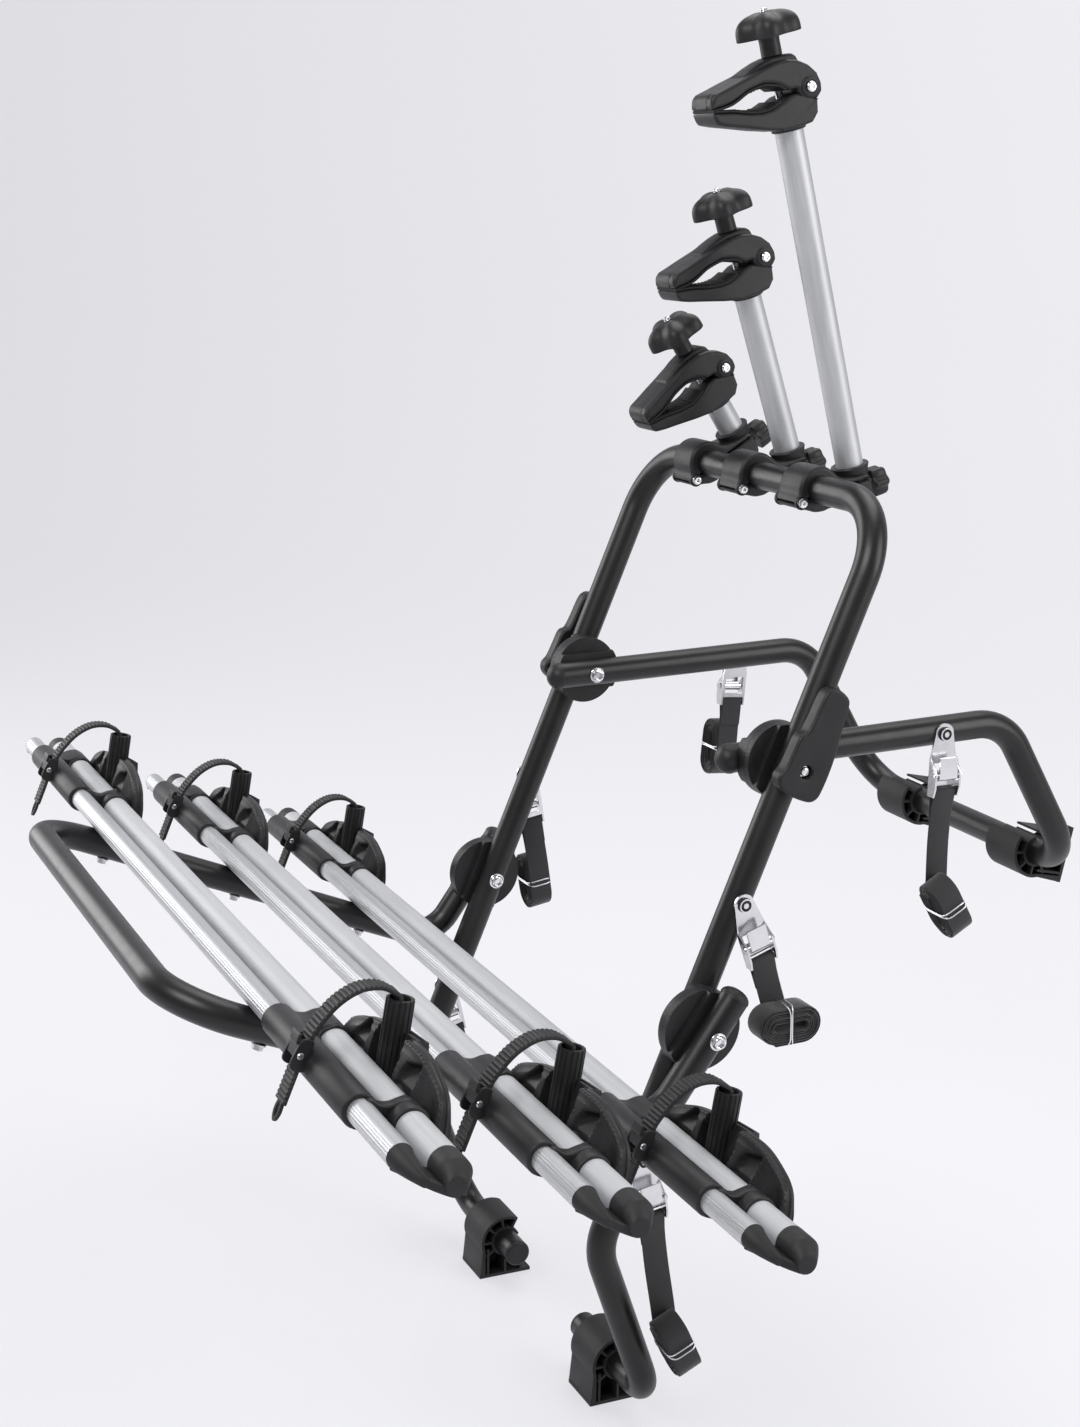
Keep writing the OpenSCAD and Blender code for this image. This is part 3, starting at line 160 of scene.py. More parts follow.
class Surface:
    """Gathers grids of points into one mesh; each grid may wrap and may be closed at its ends."""

    def __init__(self):
        self.points, self.faces, self.uvs, self.count = [], [], [], 0

    def grid(self, points, wrap_rows=False, wrap_cols=True, ends=True, uv=None):
        points = np.asarray(points, float)
        rows, cols = points.shape[:2]
        self.points.append(points.reshape(-1, 3))
        self.uvs.append((np.zeros((rows * cols, 2)) if uv is None else np.asarray(uv, float).reshape(-1, 2)))
        self.faces += grid_faces(rows, cols, wrap_rows, wrap_cols, self.count).tolist()
        if ends and wrap_cols and not wrap_rows:
            self.faces.append((self.count + np.arange(cols)[::-1]).tolist())
            self.faces.append((self.count + (rows - 1) * cols + np.arange(cols)).tolist())
        self.count += rows * cols
        return self

    def make(self, name, sharp=40):
        mesh = bpy.data.meshes.new(name)
        points = np.concatenate(self.points) * MM
        mesh.from_pydata(points.tolist(), [], self.faces)
        uvs = np.concatenate(self.uvs)
        loops = np.zeros(len(mesh.loops), np.int32)
        mesh.loops.foreach_get("vertex_index", loops)
        mesh.uv_layers.new(name="UVMap").data.foreach_set("uv", uvs[loops].ravel().astype(np.float32))
        work = bmesh.new()
        work.from_mesh(mesh)
        bmesh.ops.remove_doubles(work, verts=work.verts, dist=1e-7)
        bmesh.ops.recalc_face_normals(work, faces=work.faces)
        work.to_mesh(mesh)
        work.free()
        return shown(name, mesh, sharp)


def shown(name, mesh, sharp):
    """Object of a mesh, smooth but for edges sharper than an angle."""
    mesh.polygons.foreach_set("use_smooth", [True] * len(mesh.polygons))
    mesh.set_sharp_from_angle(angle=math.radians(sharp))
    piece = bpy.data.objects.new(name, mesh)
    bpy.context.scene.collection.objects.link(piece)
    return piece


def finished(piece, body, material, slot, *nodes):
    """Gives a piece its material and body, and hides the nodes that it is shown instead of; slot is not used."""
    piece.data.materials.clear()
    piece.data.materials.append(material)
    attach(piece, body)
    if nodes:
        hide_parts(*nodes)


def whole_turn(n):
    """n angles at even distances round a whole turn."""
    return np.linspace(0, 2 * np.pi, n, endpoint=False)


def circle(r, n=48):
    """Flat points round a circle."""
    a = whole_turn(n)
    return np.stack([r * np.cos(a), r * np.sin(a)], -1)


def ring_grid(r, a, z):
    """Grid of rings round Z: radius r, of every row or every point, at the angles a, at each row's height z."""
    r = np.asarray(r, float)
    r = r[:, None] + 0 * a if r.ndim == 1 else r
    z = np.broadcast_to(np.asarray(z, float).reshape(-1, 1), r.shape)
    return np.stack([r * np.cos(a), r * np.sin(a), z], -1)


def turned(profile, n=48):
    """Grid of a profile of (radius, height) turned round Z."""
    profile = np.asarray(profile, float)
    return ring_grid(profile[:, 0], whole_turn(n), profile[:, 1])


def bar(ring, x1, x2):
    """Grid of a flat outline in Y and Z carried along X from x1 to x2."""
    p = np.zeros((2, len(ring), 3))
    p[..., 0] = [[x1], [x2]]
    p[..., 1:] = ring
    return p


def upright_bar(ring, z1, z2):
    """Grid of a flat outline in X and Y carried along Z from z1 to z2."""
    return bar(ring, z1, z2)[..., [1, 2, 0]]


def laid(points):
    """Points of a shape drawn flat in X and Y, laid so that its flat is Y and Z and its thickness X."""
    return points[..., [2, 0, 1]]


def fallen(points, side):
    """Points of a shape turned round Z, laid so that its axis is X, pointing to a side."""
    return np.stack([side * points[..., 2], points[..., 0], points[..., 1]], -1)


def rings_along_x(x, r, y, z, a):
    """Grid of rings in Y and Z: at each x, radius r about (y, z), at the angles a."""
    x, r, y, z = (np.broadcast_to(np.asarray(v, float).reshape(-1, 1), (len(x), len(a))) for v in (x, r, y, z))
    return np.stack([x, y + r * np.cos(a), z + r * np.sin(a)], -1)


def super_turn(n, power):
    """Cosine and sine of n angles drawn out by a power, for a rounded rectangle; small powers have square corners."""
    a = whole_turn(n)
    c, s = np.cos(a), np.sin(a)
    return np.sign(c) * np.abs(c) ** power, np.sign(s) * np.abs(s) ** power


def unit(v):
    """Vectors at length 1."""
    v = np.asarray(v, float)
    return v / np.linalg.norm(v, axis=-1, keepdims=True)


def bent_path(points, radii):
    """Points along straights joined by arcs: an arc of radius r starts r tan(turn / 2) before its corner."""
    step = 6.0
    points = [np.asarray(p, float) for p in points]
    path = [points[0]]
    for i in range(1, len(points) - 1):
        a, b = unit(points[i] - points[i - 1]), unit(points[i + 1] - points[i])
        turn = math.acos(float(np.clip(a @ b, -1, 1)))
        back = radii[i] * math.tan(turn / 2)
        inward = unit(b - (a @ b) * a)
        centre = points[i] - back * a + radii[i] * inward
        n = max(int(radii[i] * turn / step), 6)
        t = np.linspace(0, turn, n + 1)[:, None]
        path.extend(centre + radii[i] * (np.sin(t) * a - np.cos(t) * inward))
    path.append(points[-1])
    return np.array(path)


def tangents(path):
    """Direction of a path at each of its points."""
    return unit(np.gradient(path, axis=0))


def flat_sides(path):
    """Unit vectors square to a flat path, on its left."""
    t = tangents(path)
    return np.stack([-t[:, 1], t[:, 0]], -1)


def swept(path, section, across):
    """Grid of a flat section carried along a path; its first axis lies square to the path and to across."""
    t = tangents(path)
    u = unit(np.cross(t, np.asarray(across, float)))
    v = np.cross(t, u)
    return path[:, None, :] + section[None, :, :1] * u[:, None, :] + section[None, :, 1:] * v[:, None, :]


def wound(path, section, across):
    """Grid of a flat section carried round a closed path: along u, square to the path and to across, and along v."""
    t = unit(np.roll(path, -1, 0) - np.roll(path, 1, 0))
    u = unit(np.cross(t, across))
    v = np.cross(t, u)
    return path[:, None] + section[None, :, :1] * u[:, None] + section[None, :, 1:] * v[:, None]


def rounded_curve(p, n):
    """Catmull-Rom curve through the points but the first and last, n points to each share of it."""
    t = np.linspace(0, 1, n, endpoint=False)[:, None, None]
    a, b, c, d = p[:-3], p[1:-2], p[2:-1], p[3:]
    q = 0.5 * (2 * b + (c - a) * t + (2 * a - 5 * b + 4 * c - d) * t**2 + (3 * b - a - 3 * c + d) * t**3)
    return q.transpose(1, 0, 2).reshape(-1, p.shape[1])


def smooth_path(points, n=10):
    """Smooth open curve through the points."""
    p = np.asarray(points, float)
    p = np.concatenate([2 * p[:1] - p[1:2], p, 2 * p[-1:] - p[-2:-1]])
    return np.concatenate([rounded_curve(p, n), p[-2:-1]])


def run_of(path):
    """Length of a path from its start to each of its points."""
    return np.concatenate([[0], np.cumsum(np.linalg.norm(np.diff(path, axis=0), axis=1))])


def even_path(path, n):
    """The same curve with its points at even distances, and those distances."""
    s = run_of(path)
    at = np.linspace(0, s[-1], n)
    return np.stack([np.interp(at, s, path[:, k]) for k in range(path.shape[1])], -1), at


def even_loop(points, n):
    """Closed outline through the points, n of them at even distances."""
    return even_path(np.concatenate([points, points[:1]]), n + 1)[0][:-1]


def closed_outline(points, n=96):
    """Smooth closed outline through flat points, with n points at even distances."""
    p = np.asarray(points, float)
    return even_loop(rounded_curve(np.concatenate([p[-1:], p, p[:2]]), 10), n)


def inner_radius(outline, inward):
    """Largest inner circle's radius at each outline point: least |d|^2 / (2 d . inward) over the others."""
    d = outline[None] - outline[:, None]
    depth = np.einsum("ijk,ik->ij", d, inward)
    ratio = np.where(depth > 1e-6, np.sum(d * d, -1) / np.maximum(2 * depth, 1e-6), 1e9)
    return ratio.min(1)


def rounded_plate(outline, z1, z2, edge, steps=4, low=True, high=True):
    """Grid of an outline carried from z1 to z2, drawn in by a quarter round at its low and high ends."""
    outline = np.asarray(outline, float)
    t = unit(np.roll(outline, -1, 0) - np.roll(outline, 1, 0))
    area = np.sum(outline[:, 0] * np.roll(outline[:, 1], -1) - outline[:, 1] * np.roll(outline[:, 0], -1))
    out = np.stack([t[:, 1], -t[:, 0]], -1) * np.sign(area)
    most = np.minimum(edge, 0.8 * inner_radius(outline, -out))
    a = np.linspace(0, np.pi / 2, steps + 1)
    inset, z = [], []
    if low:
        inset += [1.08] + (1 - np.sin(a)).tolist()
        z += [z1] + (z1 + edge * (1 - np.cos(a))).tolist()
    else:
        inset, z = [0.04, 0.0], [z1, z1]
    if high:
        inset += (1 - np.sin(a[::-1])).tolist() + [1.08]
        z += (z2 - edge * (1 - np.cos(a[::-1]))).tolist() + [z2]
    else:
        inset, z = inset + [0.0, 0.04], z + [z2, z2]
    flat = outline[None] - np.array(inset)[:, None, None] * most[None, :, None] * out[None]
    z = np.broadcast_to(np.array(z)[:, None, None], flat.shape[:2] + (1,))
    return np.concatenate([flat, z], -1)


def moulded(solid, body, material, slot, edge):
    """Copy of a solid with its edges rounded, shown instead of it."""
    angle = 30
    mesh = NODES[solid].data.copy()
    work = bmesh.new()
    work.from_mesh(mesh)
    bmesh.ops.remove_doubles(work, verts=work.verts, dist=1e-6)
    bmesh.ops.dissolve_limit(work, angle_limit=math.radians(0.5), verts=work.verts, edges=work.edges)
    work.to_mesh(mesh)
    work.free()
    piece = shown(solid + "_form", mesh, angle)
    bevel = piece.modifiers.new("edge", "BEVEL")
    bevel.width = edge * MM
    bevel.segments = 2
    bevel.limit_method = "ANGLE"
    bevel.angle_limit = math.radians(angle)
    bevel.use_clamp_overlap = True
    bevel.harden_normals = True
    finished(piece, body, material, slot, solid)


# Shader maths ------------------------------------------------------------------------------

class Socket:
    """Wraps a node's output, so that sums of sockets and numbers add Math nodes."""

    def __init__(self, tree, link):
        self.tree, self.link = tree, link

    def _math(self, operation, *values):
        return node(self.tree, "ShaderNodeMath", {"operation": operation}, dict(enumerate(values)))

    def __add__(self, other):
        return self._math("ADD", self, other)

    def __sub__(self, other):
        return self._math("SUBTRACT", self, other)

    def __rsub__(self, other):
        return self._math("SUBTRACT", other, self)

    def __mul__(self, other):
        return self._math("MULTIPLY", self, other)

    __radd__, __rmul__ = __add__, __mul__

    def sine(self):
        return self._math("SINE", self)

    def clamped(self):
        return node(self.tree, "ShaderNodeClamp", {}, {"Value": self})


def node(tree, kind, settings, inputs, output=0):
    """Adds a node: its settings first, then the values or links of its sockets."""
    made = tree.nodes.new(kind)
    for key, value in settings.items():
        if key == "stops":
            ramp = made.color_ramp
            while len(ramp.elements) < len(value):
                ramp.elements.new(0.5)
            for element, (at, colour) in zip(ramp.elements, value):
                element.position, element.color = at, colour
        else:
            setattr(made, key, value)
    for key, value in inputs.items():
        target = made.inputs[key]
        if isinstance(value, Socket):
            tree.links.new(value.link, target)
        else:
            target.default_value = value
    return Socket(tree, made.outputs[output])


class Finish:
    """A Principled material, with the textures that its colour, roughness and bump are made of."""

    def __init__(self, name, colour, roughness, metallic=0.0, **sockets):
        self.material = bpy.data.materials.new(name)
        self.material.use_nodes = True
        self.tree = self.material.node_tree
        self.shader = self.tree.nodes["Principled BSDF"]
        self.set("Base Color", (*colour, 1.0))
        self.set("Roughness", roughness)
        self.set("Metallic", metallic)
        for key, value in sockets.items():
            self.set(key.replace("_", " "), value)
        self.place = node(self.tree, "ShaderNodeTexCoord", {}, {}, "Object")
        self.uv = node(self.tree, "ShaderNodeTexCoord", {}, {}, "UV")

    def set(self, socket, value):
        if isinstance(value, Socket):
            self.tree.links.new(value.link, self.shader.inputs[socket])
        else:
            self.shader.inputs[socket].default_value = value

    def stretched(self, scale, at=None):
        return node(self.tree, "ShaderNodeMapping", {}, {"Vector": at or self.place, "Scale": scale})

    def noise(self, scale, detail=2.0, rough=0.5, at=None):
        return node(self.tree, "ShaderNodeTexNoise", {},
                    {"Vector": at or self.place, "Scale": scale, "Detail": detail, "Roughness": rough})

    def split(self, at):
        return [node(self.tree, "ShaderNodeSeparateXYZ", {}, {"Vector": at}, k) for k in range(3)]

    def mixed(self, mask, low, high):
        return node(self.tree, "ShaderNodeMix", {"data_type": "RGBA"}, {0: mask, 6: (*low, 1), 7: (*high, 1)}, 2)

    def ramp(self, value, low, high):
        return node(self.tree, "ShaderNodeMapRange", {}, {"Value": value, "From Min": low, "From Max": high})

    def bumped(self, height, distance, strength=1.0):
        self.set("Normal", node(self.tree, "ShaderNodeBump", {},
                                {"Height": height, "Distance": distance, "Strength": strength}))


def powder_coat():
    """Satin black powder coat: fine orange peel, faint uneven gloss."""
    f = Finish("powder_coat", (0.006, 0.006, 0.0065), 0.36, **{"Specular IOR Level": 0.4})
    patches = f.noise(14, 3)
    f.set("Base Color", f.mixed(f.ramp(patches, 0.35, 0.7), (0.005, 0.005, 0.0055), (0.009, 0.009, 0.0095)))
    f.set("Roughness", 0.3 + 0.12 * f.noise(60, 3))
    f.bumped(f.noise(900, 2), 0.0001, 0.35)
    return f.material


def moulded_plastic(name, low, high, rough):
    """Moulded black plastic: spark-eroded grain, paler scuffs on patches."""
    f = Finish(name, low, rough, **{"Specular IOR Level": 0.32})
    f.set("Base Color", f.mixed(f.ramp(f.noise(30, 4, 0.6), 0.35, 0.75), low, high))
    f.set("Roughness", (rough - 0.07) + 0.16 * f.noise(120, 3))
    f.bumped(f.noise(2600, 2), 0.00008, 0.45)
    return f.material


def anodised(name, scale, rough, metallic):
    """Satin anodised aluminium: hair lines drawn along the extrusion, and a soft uneven haze."""
    f = Finish(name, (0.70, 0.71, 0.73), rough, metallic)
    lines = f.noise(1.0, 3, 0.6, f.stretched(scale))
    haze = f.noise(9, 2)
    f.set("Base Color", f.mixed(f.ramp(lines + 0.5 * haze, 0.5, 1.0), (0.45, 0.455, 0.47), (0.54, 0.545, 0.56)))
    f.set("Roughness", (rough - 0.06) + 0.12 * lines)
    f.bumped(lines, 0.00003, 0.5)
    return f.material


def plated(name, colour, rough, grain):
    """Plated steel: even and bright, with a faint mottle of the zinc's crystals."""
    f = Finish(name, colour, rough, 1.0)
    spots = f.noise(grain, 3, 0.6)
    f.set("Base Color", f.mixed(f.ramp(spots, 0.3, 0.7), tuple(0.93 * c for c in colour), colour))
    f.set("Roughness", rough * 0.9 + rough * 0.3 * spots)
    f.bumped(spots, 0.00002, 0.15)
    return f.material


def woven_webbing():
    """Black webbing: ribs across its length, crossed by finer yarns, with a soft sheen; its colour carries painted
    shade, darker down in the weave.
    """
    rib_pitch, yarn_pitch = 1.3, 0.9
    f = Finish("webbing", (0.012, 0.012, 0.013), 0.75, **{"Sheen Weight": 0.35, "Sheen Roughness": 0.4})
    along, across, _ = f.split(f.uv)
    ribs = (along * (2 * math.pi / rib_pitch)).sine() * 0.5 + 0.5
    yarns = (across * (2 * math.pi / yarn_pitch) + ribs * 1.6).sine() * 0.5 + 0.5
    fuzz = f.noise(1500, 3)
    height = 0.6 * ribs + 0.3 * yarns + 0.25 * fuzz
    # Colour from the weave's height: painted shade in the low places between ribs and yarns, with random fuzz in the
    # tone.
    f.set("Base Color", f.mixed(f.ramp(height, 0.3, 1.0), (0.007, 0.007, 0.008), (0.026, 0.026, 0.028)))
    f.set("Roughness", 0.62 + 0.2 * fuzz)
    f.bumped(height, 0.0003, 0.8)
    return f.material


COAT = powder_coat()
PLASTIC = moulded_plastic("plastic_smooth", (0.010, 0.010, 0.011), (0.017, 0.017, 0.018), 0.44)
PLASTIC_MATT = moulded_plastic("plastic_matt", (0.013, 0.013, 0.014), (0.022, 0.022, 0.023), 0.55)
RUBBER = moulded_plastic("rubber", (0.006, 0.006, 0.0065), (0.011, 0.011, 0.0115), 0.68)
ALLOY = anodised("alloy_rail", (6, 900, 900), 0.62, 0.6)
ALLOY_BRIGHT = anodised("alloy_rail_front", (6, 900, 900), 0.45, 0.8)
ALLOY_ARM = anodised("alloy_arm", (500, 30, 12), 0.54, 0.75)
ZINC = plated("zinc", (0.66, 0.66, 0.68), 0.28, 220)
ZINC_BRIGHT = plated("zinc_polished", (0.78, 0.78, 0.80), 0.16, 160)
STRAP_PLASTIC = moulded_plastic("strap_nylon", (0.010, 0.010, 0.011), (0.018, 0.018, 0.019), 0.5)
BRIGHT = plated("bright_plate", (0.70, 0.70, 0.72), 0.2, 90)
WEBBING = woven_webbing()
WIRE = plated("wire_tie", (0.82, 0.82, 0.84), 0.3, 300)

# Tubes -------------------------------------------------------------------------------------

TUBE_RING = circle(TUBE_R, 56)


def steel_tube(name, body, points, radii, across):
    """One bent tube: its ring carried along the straights and arcs."""
    tube = Surface().grid(swept(bent_path(points, radii), TUBE_RING, across))
    finished(tube.make(name + "_skin", 60), body, COAT, "black_steel", name)


steel_tube("hoop_tube", "hoop", [
    side_point(-HALF_HOOP + FOOT_IN, HEEL), side_point(-HALF_HOOP, HEEL), side_point(-HALF_HOOP, KNEE),
    side_point(-HALF_HOOP, TOP_BAR), side_point(HALF_HOOP, TOP_BAR), side_point(HALF_HOOP, KNEE),
    side_point(HALF_HOOP, HEEL), side_point(HALF_HOOP - FOOT_IN, HEEL),
], [0, 38, 60, 75, 75, 60, 38, 0], (0, 0.93, -0.37))
steel_tube("upper_frame_tube", "upper_frame", [
    side_point(-HALF_FRAME, FRAME_START), side_point(-HALF_FRAME, FRAME_BEND), side_point(-HALF_FRAME, CROSSBAR),
    side_point(HALF_FRAME, CROSSBAR), side_point(HALF_FRAME, FRAME_BEND), side_point(HALF_FRAME, FRAME_START),
], [0, 60, 62, 62, 60, 0], (0, 0.85, 0.52))
steel_tube("platform_tube", "platform", [
    side_point(-HALF_PLATFORM, STUB_END), side_point(-HALF_PLATFORM, STUB_CORNER),
    side_point(-HALF_PLATFORM, FRONT_BAR), side_point(HALF_PLATFORM, FRONT_BAR),
    side_point(HALF_PLATFORM, STUB_CORNER), side_point(HALF_PLATFORM, STUB_END),
], [0, 45, 68, 68, 45, 0], (0, 0.1, 1.0))


GROOVES, GROOVE_HALF, GROOVE_DEPTH = (150, 166, 182, 198), 2.4, 0.35
FLOOR_T = 4.0


def rail_skin(k):
    """Two round tubes joined by a floor; the front one's radius dips by a bell curve at each groove."""
    place, name = rail_place(RAIL_PLACES[k]), "rail_%d" % (k + 1)
    a = whole_turn(240)
    dip = sum(np.exp(-(((np.degrees(a) - g + 180) % 360 - 180) / GROOVE_HALF) ** 2) for g in GROOVES)
    r = FRONT_R - GROOVE_DEPTH * dip
    ring = np.stack([r * np.cos(a), r * np.sin(a)], -1)
    front = Surface().grid(place.at(bar(ring + (0, FRONT_N), -RAIL_END, RAIL_END)))
    rear = Surface().grid(place.at(bar(circle(REAR_R, 96) + (RAIL_SPAN, REAR_N), -RAIL_END, RAIL_END)))
    floor = np.array([[0, 0], [RAIL_SPAN, 0], [RAIL_SPAN, FLOOR_T], [0, FLOOR_T]])
    rear.grid(place.at(bar(floor + (0, TUBE_R), -RAIL_END, RAIL_END)))
    finished(front.make(name + "_front", 50), "platform", ALLOY_BRIGHT, "rail_aluminium", name)
    finished(rear.make(name + "_skin", 50), "platform", ALLOY, "rail_aluminium", name)


ARM_R = 14.5


def arm_tube(i):
    """Straight tube from inside its collar to inside its jaw's socket."""
    name = "arm_tube_%d" % (i + 1)
    tube = upright_bar(circle(ARM_R, 64) + (0, ARM_BACK), ARM_FOOT - 12, ARM_FOOT + ARM_LENS[i] + 7)
    finished(Surface().grid(arm_place(i).at(tube)).make(name + "_skin", 50), "arm_%d" % (i + 1), ALLOY_ARM,
             "rail_aluminium", name)


for k in range(3):
    rail_skin(k)
    arm_tube(k)

# Webbing straps ----------------------------------------------------------------------------

BAR_AT, BAR_R, WEB_T, WEB_W, BUCKLE_END = np.array([5.0, -61.0]), 2.5, 1.6, 27.0, 66.0
ROLL_LEN, ROLL_T, ROLL_PITCH, ROLL_TURNS = 72.0, 40.0, 2.6, 6
LOOP_PLAY, SEAM_DOWN, TIE_R = 0.2, 30.0, 0.8
WEB_SECTION = np.array([[-13.5, 0], [-13.1, 0.6], [-12.3, 0.8], [0, 0.8], [12.3, 0.8], [13.1, 0.6], [13.5, 0],
                        [13.1, -0.6], [12.3, -0.8], [0, -0.8], [-12.3, -0.8], [-13.1, -0.6]])


def web_band(surface, place, path, slide=0):
    """Webbing carried along a path of (x, z); slide moves it sideways along its width."""
    path = np.asarray(path, float)
    out = flat_sides(path)
    wide, thick = WEB_SECTION[None, :, 0], WEB_SECTION[None, :, 1]
    x, z = path[:, :1] + out[:, :1] * thick, path[:, 1:] + out[:, 1:] * thick
    y = np.broadcast_to(wide, x.shape) + np.reshape(slide, (-1, 1))
    uv = np.stack([np.broadcast_to(run_of(path)[:, None], x.shape), np.broadcast_to(wide, x.shape)], -1)
    surface.grid(place.at(np.stack([x, y, z], -1)), uv=uv)


def roll_path():
    """Flat spiral: half rounds of falling radius joined by straights, from the outer turn inwards."""
    h = ROLL_LEN / 2 - ROLL_T / 2
    points = [[WEB_T / 2 - ROLL_T / 2, h]]
    for turn in range(ROLL_TURNS):
        for half in (0, 1):
            k = np.linspace(0, 1, 13)
            r = ROLL_T / 2 - WEB_T / 2 - ROLL_PITCH * (turn + (half + k) / 2)
            a = np.pi * k
            sign = -1 if half == 0 else 1
            points += np.stack([sign * r * np.cos(a), sign * (h + r * np.sin(a))], -1).tolist()
    return np.array(points)


def tie_loop(surface, place, z):
    """Wire bent round the roll as a rounded rectangle, waving a little."""
    c, s = super_turn(64, 0.35)
    wave = z + 1.2 * np.sin(whole_turn(64) * 2 + z)
    path = np.stack([(ROLL_T / 2 + 0.7) * c, (WEB_W / 2 + 1.3) * s, wave], -1)
    surface.grid(place.at(wound(path, circle(TIE_R, 10), (0, 0, 1.0))), wrap_rows=True, ends=False)


def strap_piece(name, body, spots, node_name):
    """Straps of a body: round the buckle's bar, sewn below it, hanging with a slight wave, and rolled up."""
    webs, ties = Surface(), Surface()
    r = BAR_R + LOOP_PLAY + WEB_T / 2
    seam, lay = BAR_AT[1] - SEAM_DOWN, BAR_AT[0] - r + WEB_T
    a = np.radians(np.linspace(180, 0, 13))
    loop = BAR_AT + r * np.stack([np.cos(a), np.sin(a)], -1)
    tail = [[BAR_AT[0] - r, seam], [BAR_AT[0] - r, seam + 15]] + loop.tolist() + [[lay + 1.4, seam + 12]]
    for x, p, out, swing, drop, lean, spin in spots:
        place = strap_place(x, p, out, swing)
        top = -BUCKLE_END - drop
        down = np.linspace(seam, top - ROLL_T / 2, 12)
        hang = [[lay + 0.9 * math.sin((z - seam) / 17.0), z] for z in down]
        web_band(webs, place, np.array(tail + hang))
        across = ROLL_T if spin == 0 else WEB_W
        roll = place.inner((lay + (across - WEB_T) / 2, 0, top - ROLL_LEN / 2 + ROLL_T / 2)).turned_x(lean)
        c, s = cos_of(spin), sin_of(spin)
        roll = roll.inner((0, 0, 0), [[c, s, 0], [-s, c, 0], [0, 0, 1]])
        path = roll_path()
        turn = np.linspace(0, 1, len(path))
        web_band(webs, roll, path, 0.7 * np.sin(turn * 19.0) + 0.5 * np.sin(turn * 47.0 + spin))
        for z in (-2.0, 2.0):
            tie_loop(ties, roll, z)
    finished(webs.make(name, 50), body, WEBBING, "webbing", node_name)
    finished(ties.make(name + "_ties", 60), body, WIRE, "bright_steel", node_name)


UPPER_STRAP, FOOT_STRAP, FRAME_STRAP = leg_at(130), leg_at(-146), UPPER_HINGE + 206 * ARM_DIR
# Each strap: its place, its side, its swing about the tube, how far it hangs, and the roll's lean and spin
strap_piece("hoop_webbing", "hoop", [
    (HALF_HOOP, UPPER_STRAP, -1, 10, 61, 0, 0), (HALF_HOOP, UPPER_STRAP, 1, 19.5, 50, 72, 90),
    (HALF_HOOP, FOOT_STRAP, -1, 14, 45, -20, 0), (HALF_HOOP, FOOT_STRAP, 1, 9.6, 117, 15, 0),
], "hoop_straps")
strap_piece("frame_webbing", "upper_frame", [
    (HALF_FRAME, FRAME_STRAP, -1, -4, 40, 0, 0), (HALF_FRAME, FRAME_STRAP, 1, 0, 99, 30, 0),
], "frame_straps")

# Toothed ratchet straps --------------------------------------------------------------------

RATCHET_W, RATCHET_Y, RATCHET_PITCH, TOOTH_H = 20.0, -17.45, 4.2, 1.15
POST_LEAN, POST_Y, POST_N, POST_H = 13.3, 64.0, 38.0, 60.0
POST_FOOT, POST_DIR = np.array([POST_Y, POST_N]), np.array([-sin_of(POST_LEAN), cos_of(POST_LEAN)])
POST_TOP, POST_IN = POST_FOOT + POST_H * POST_DIR, POST_FOOT + POST_H / 2 * POST_DIR
ARC_SHARES = np.array([[0.02, 0.1], [0.05, 0.32], [0.19, 0.66], [0.4, 0.9],
                       [0.64, 1.0], [0.84, 0.985], [0.955, 0.92]])
BUCKLE_PIN = np.array([-20.5, 31.0])


def ratchet_path():
    """Straight tail up to the buckle, then the arc over the wheel seat and down into the post."""
    start = np.array([RATCHET_Y, 33.0])
    arc = start + ARC_SHARES * (POST_TOP + (0, RATCHET_W / 4) - start)
    points = np.concatenate([[[RATCHET_Y, -12.0], [RATCHET_Y, 12.0], start], arc, [POST_IN + (0, 3.0)]])
    return even_path(smooth_path(points), 420)


def toothed_band(surface, place):
    """Band whose outer side carries teeth: each rises as the root of its share, then drops at its end."""
    path, s = ratchet_path()
    out = flat_sides(path)
    phase = (s / RATCHET_PITCH) % 1.0
    worn = np.clip((s[-1] - s) / 24.0, 0.15, 1.0)
    tooth = TOOTH_H * np.sqrt(np.clip(np.sin(np.pi * np.clip(phase * 1.08, 0, 1)), 0, 1)) * worn
    low, flank, crown = -1.5 + 0 * s, 0.9 + 0 * s, 1.3 + tooth
    thick = np.stack([low, low, -flank, flank, crown, crown, flank, -flank], -1)
    half = RATCHET_W / 2
    x = np.array([-half + 0.8, half - 0.8, half, half, half - 0.9, -half + 0.9, -half, -half])
    y, n = path[:, :1] + out[:, :1] * thick, path[:, 1:] + out[:, 1:] * thick
    surface.grid(place.at(np.stack([np.broadcast_to(x, y.shape), y, n], -1)))


def strap_tail(surface, place):
    """Tail loop below the band: a flat bar bent to a long narrow link with a pointed end."""
    middle, half_h = -19.0, 8.5
    a = whole_turn(72)
    n = middle + half_h * np.sin(a)
    x = 4.6 * super_turn(72, 0.8)[0]
    x = x * np.where(n < middle, 1 - 0.45 * ((middle - n) / half_h) ** 2, 1.0)
    path = np.stack([x, np.full_like(a, RATCHET_Y), n], -1)
    ring = np.array([[-1.6, -1.2], [-1.2, -1.6], [1.2, -1.6], [1.6, -1.2],
                     [1.6, 1.2], [1.2, 1.6], [-1.2, 1.6], [-1.6, 1.2]])
    surface.grid(place.at(wound(path, ring, (0, 1.0, 0))), wrap_rows=True, ends=False)


def block(surface, place, size, at, edge=1.0):
    """Block with rounded edges, drawn as a rounded plate of a rounded rectangle."""
    c, s = super_turn(40, 0.22)
    flat = np.stack([size[0] / 2 * c, size[1] / 2 * s], -1)
    p = rounded_plate(flat, -size[2] / 2, size[2] / 2, edge)
    surface.grid(place.at(p + np.asarray(at, float)))


